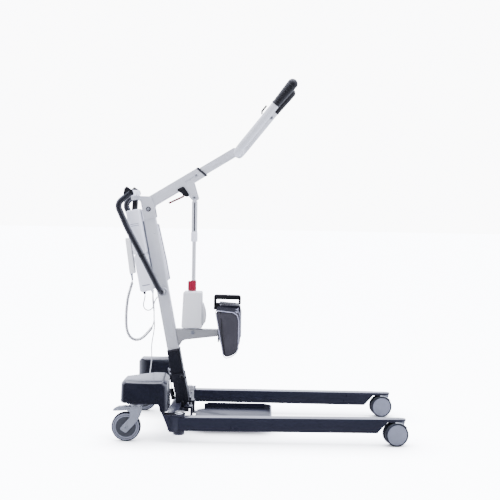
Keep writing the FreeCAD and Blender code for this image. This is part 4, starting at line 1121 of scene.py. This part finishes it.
def stage():
    """A white floor that glows for the camera, with a painted contact shadow that dims the glow where
    the lift stands close to it.
    """
    bpy.ops.mesh.primitive_plane_add(size=60, location=(0, 0, 0))
    floor = bpy.context.object
    floor.name = "studio_floor"
    look = surface("studio_white", (0.80, 0.81, 0.83), 0.5, mottle=0.004)
    tree = look.node_tree
    link = tree.links.new
    # Ambient occlusion dims the floor's glow near the lift: a painted contact shadow.
    near = add_node(tree, "AmbientOcclusion", Distance=0.22)
    near.samples = 12
    painted_contact_shadow = maths(tree, "POWER", near.outputs["AO"], 2.2)
    seen = add_node(tree, "LightPath")
    level = maths(tree, "MULTIPLY", seen.outputs["Is Camera Ray"], painted_contact_shadow)
    glow = add_node(tree, "Emission", Color=(0.95, 0.965, 1.0, 1))
    link(maths(tree, "MULTIPLY", level, FLOOR_GLOW), glow.inputs["Strength"])
    both = add_node(tree, "AddShader")
    link(tree.nodes["Principled BSDF"].outputs["BSDF"], both.inputs[0])
    link(glow.outputs["Emission"], both.inputs[1])
    link(both.outputs["Shader"], tree.nodes["Material Output"].inputs["Surface"])
    floor.data.materials.append(look)
    floor.visible_glossy = False
    studio()
    lamp("top_light", (0.0, 0.2, 4.4), (0, 0, 0.4), 3.2, 190, (0.86, 0.87, 1.0))
    front = lamp("front_light", (-2.4, -3.8, 2.4), (0, 0, 0.7), 2.4, 105, (1.0, 0.98, 0.95))
    right = lamp("right_light", (3.6, -1.4, 2.0), (0, 0, 0.7), 1.8, 35, (1.0, 1.0, 1.0))
    front.visible_glossy = right.visible_glossy = False


def studio():
    """A white room: bright for the camera, and a pale wall behind the lift for the reflections."""
    world = bpy.data.worlds.new("studio")
    bpy.context.scene.world = world
    world.use_nodes = True
    tree = world.node_tree
    link = tree.links.new
    sky = tree.nodes["Background"]
    where = add_node(tree, "TexCoord")
    parts = add_node(tree, "SeparateXYZ")
    link(where.outputs["Generated"], parts.inputs["Vector"])
    wall = add_node(tree, "MapRange", From_Min=-0.85, From_Max=0.25, To_Min=0.12, To_Max=2.5)
    link(parts.outputs["Y"], wall.inputs["Value"])
    rise = add_node(tree, "MapRange", From_Min=0.08, From_Max=0.5, To_Min=1.0, To_Max=2.0)
    link(parts.outputs["Z"], rise.inputs["Value"])
    seen = add_node(tree, "LightPath").outputs["Is Camera Ray"]
    strength = add_node(tree, "Mix", B=ROOM_GLOW)
    link(seen, strength.inputs["Factor"])
    link(maths(tree, "MULTIPLY", wall.outputs["Result"], rise.outputs["Result"]),
         strength.inputs["A"])
    link(strength.outputs["Result"], sky.inputs["Strength"])
    tint = add_node(tree, "Mix")
    tint.data_type = "RGBA"
    set_inputs(tint, A=(0.80, 0.835, 1.0, 1), B=(0.97, 0.975, 1.0, 1))
    link(seen, tint.inputs["Factor"])
    link(tint.outputs["Result"], sky.inputs["Color"])


def lamp(name, spot, toward, size, power, colour):
    light = bpy.data.lights.new(name, "AREA")
    light.shape = "SQUARE"
    light.size = size
    light.energy = power
    light.color = colour
    holder = bpy.data.objects.new(name, light)
    bpy.context.scene.collection.objects.link(holder)
    holder.location = spot
    aim = Vector(toward) - Vector(spot)
    holder.rotation_mode = "QUATERNION"
    holder.rotation_quaternion = aim.to_track_quat("-Z", "Y")
    return holder


EYE = (0.03265, -4.5867, 1.0305)
YAW, PITCH, ROLL = -1.01, -2.84, 1.0
FOCAL_LENGTH = 73.512
SENSOR_WIDTH = 36


def camera():
    yaw, pitch, roll = (math.radians(angle) for angle in (YAW, PITCH, ROLL))
    forward = Vector((math.sin(yaw) * math.cos(pitch), math.cos(yaw) * math.cos(pitch),
                      math.sin(pitch)))
    right = Vector((math.cos(yaw), -math.sin(yaw), 0))
    up = right.cross(forward)
    across = right * math.cos(roll) + up * math.sin(roll)
    above = up * math.cos(roll) - right * math.sin(roll)
    turn = Matrix((across, above, -forward)).transposed().to_4x4()
    lens = bpy.data.cameras.new("camera")
    lens.sensor_width = SENSOR_WIDTH
    lens.lens = FOCAL_LENGTH
    lens.clip_end = 100
    holder = bpy.data.objects.new("camera", lens)
    bpy.context.scene.collection.objects.link(holder)
    holder.matrix_world = Matrix.Translation(EYE) @ turn
    bpy.context.scene.camera = holder


camera()
cords()
for side_name, side_sign in SIDES.items():
    leg(side_name, side_sign)
    rear_castor(side_name, side_sign)
chassis()
footplate()
mast()
control_box()
battery()
handset()
fold_latch()
boom()
actuator()
knee()
stage()
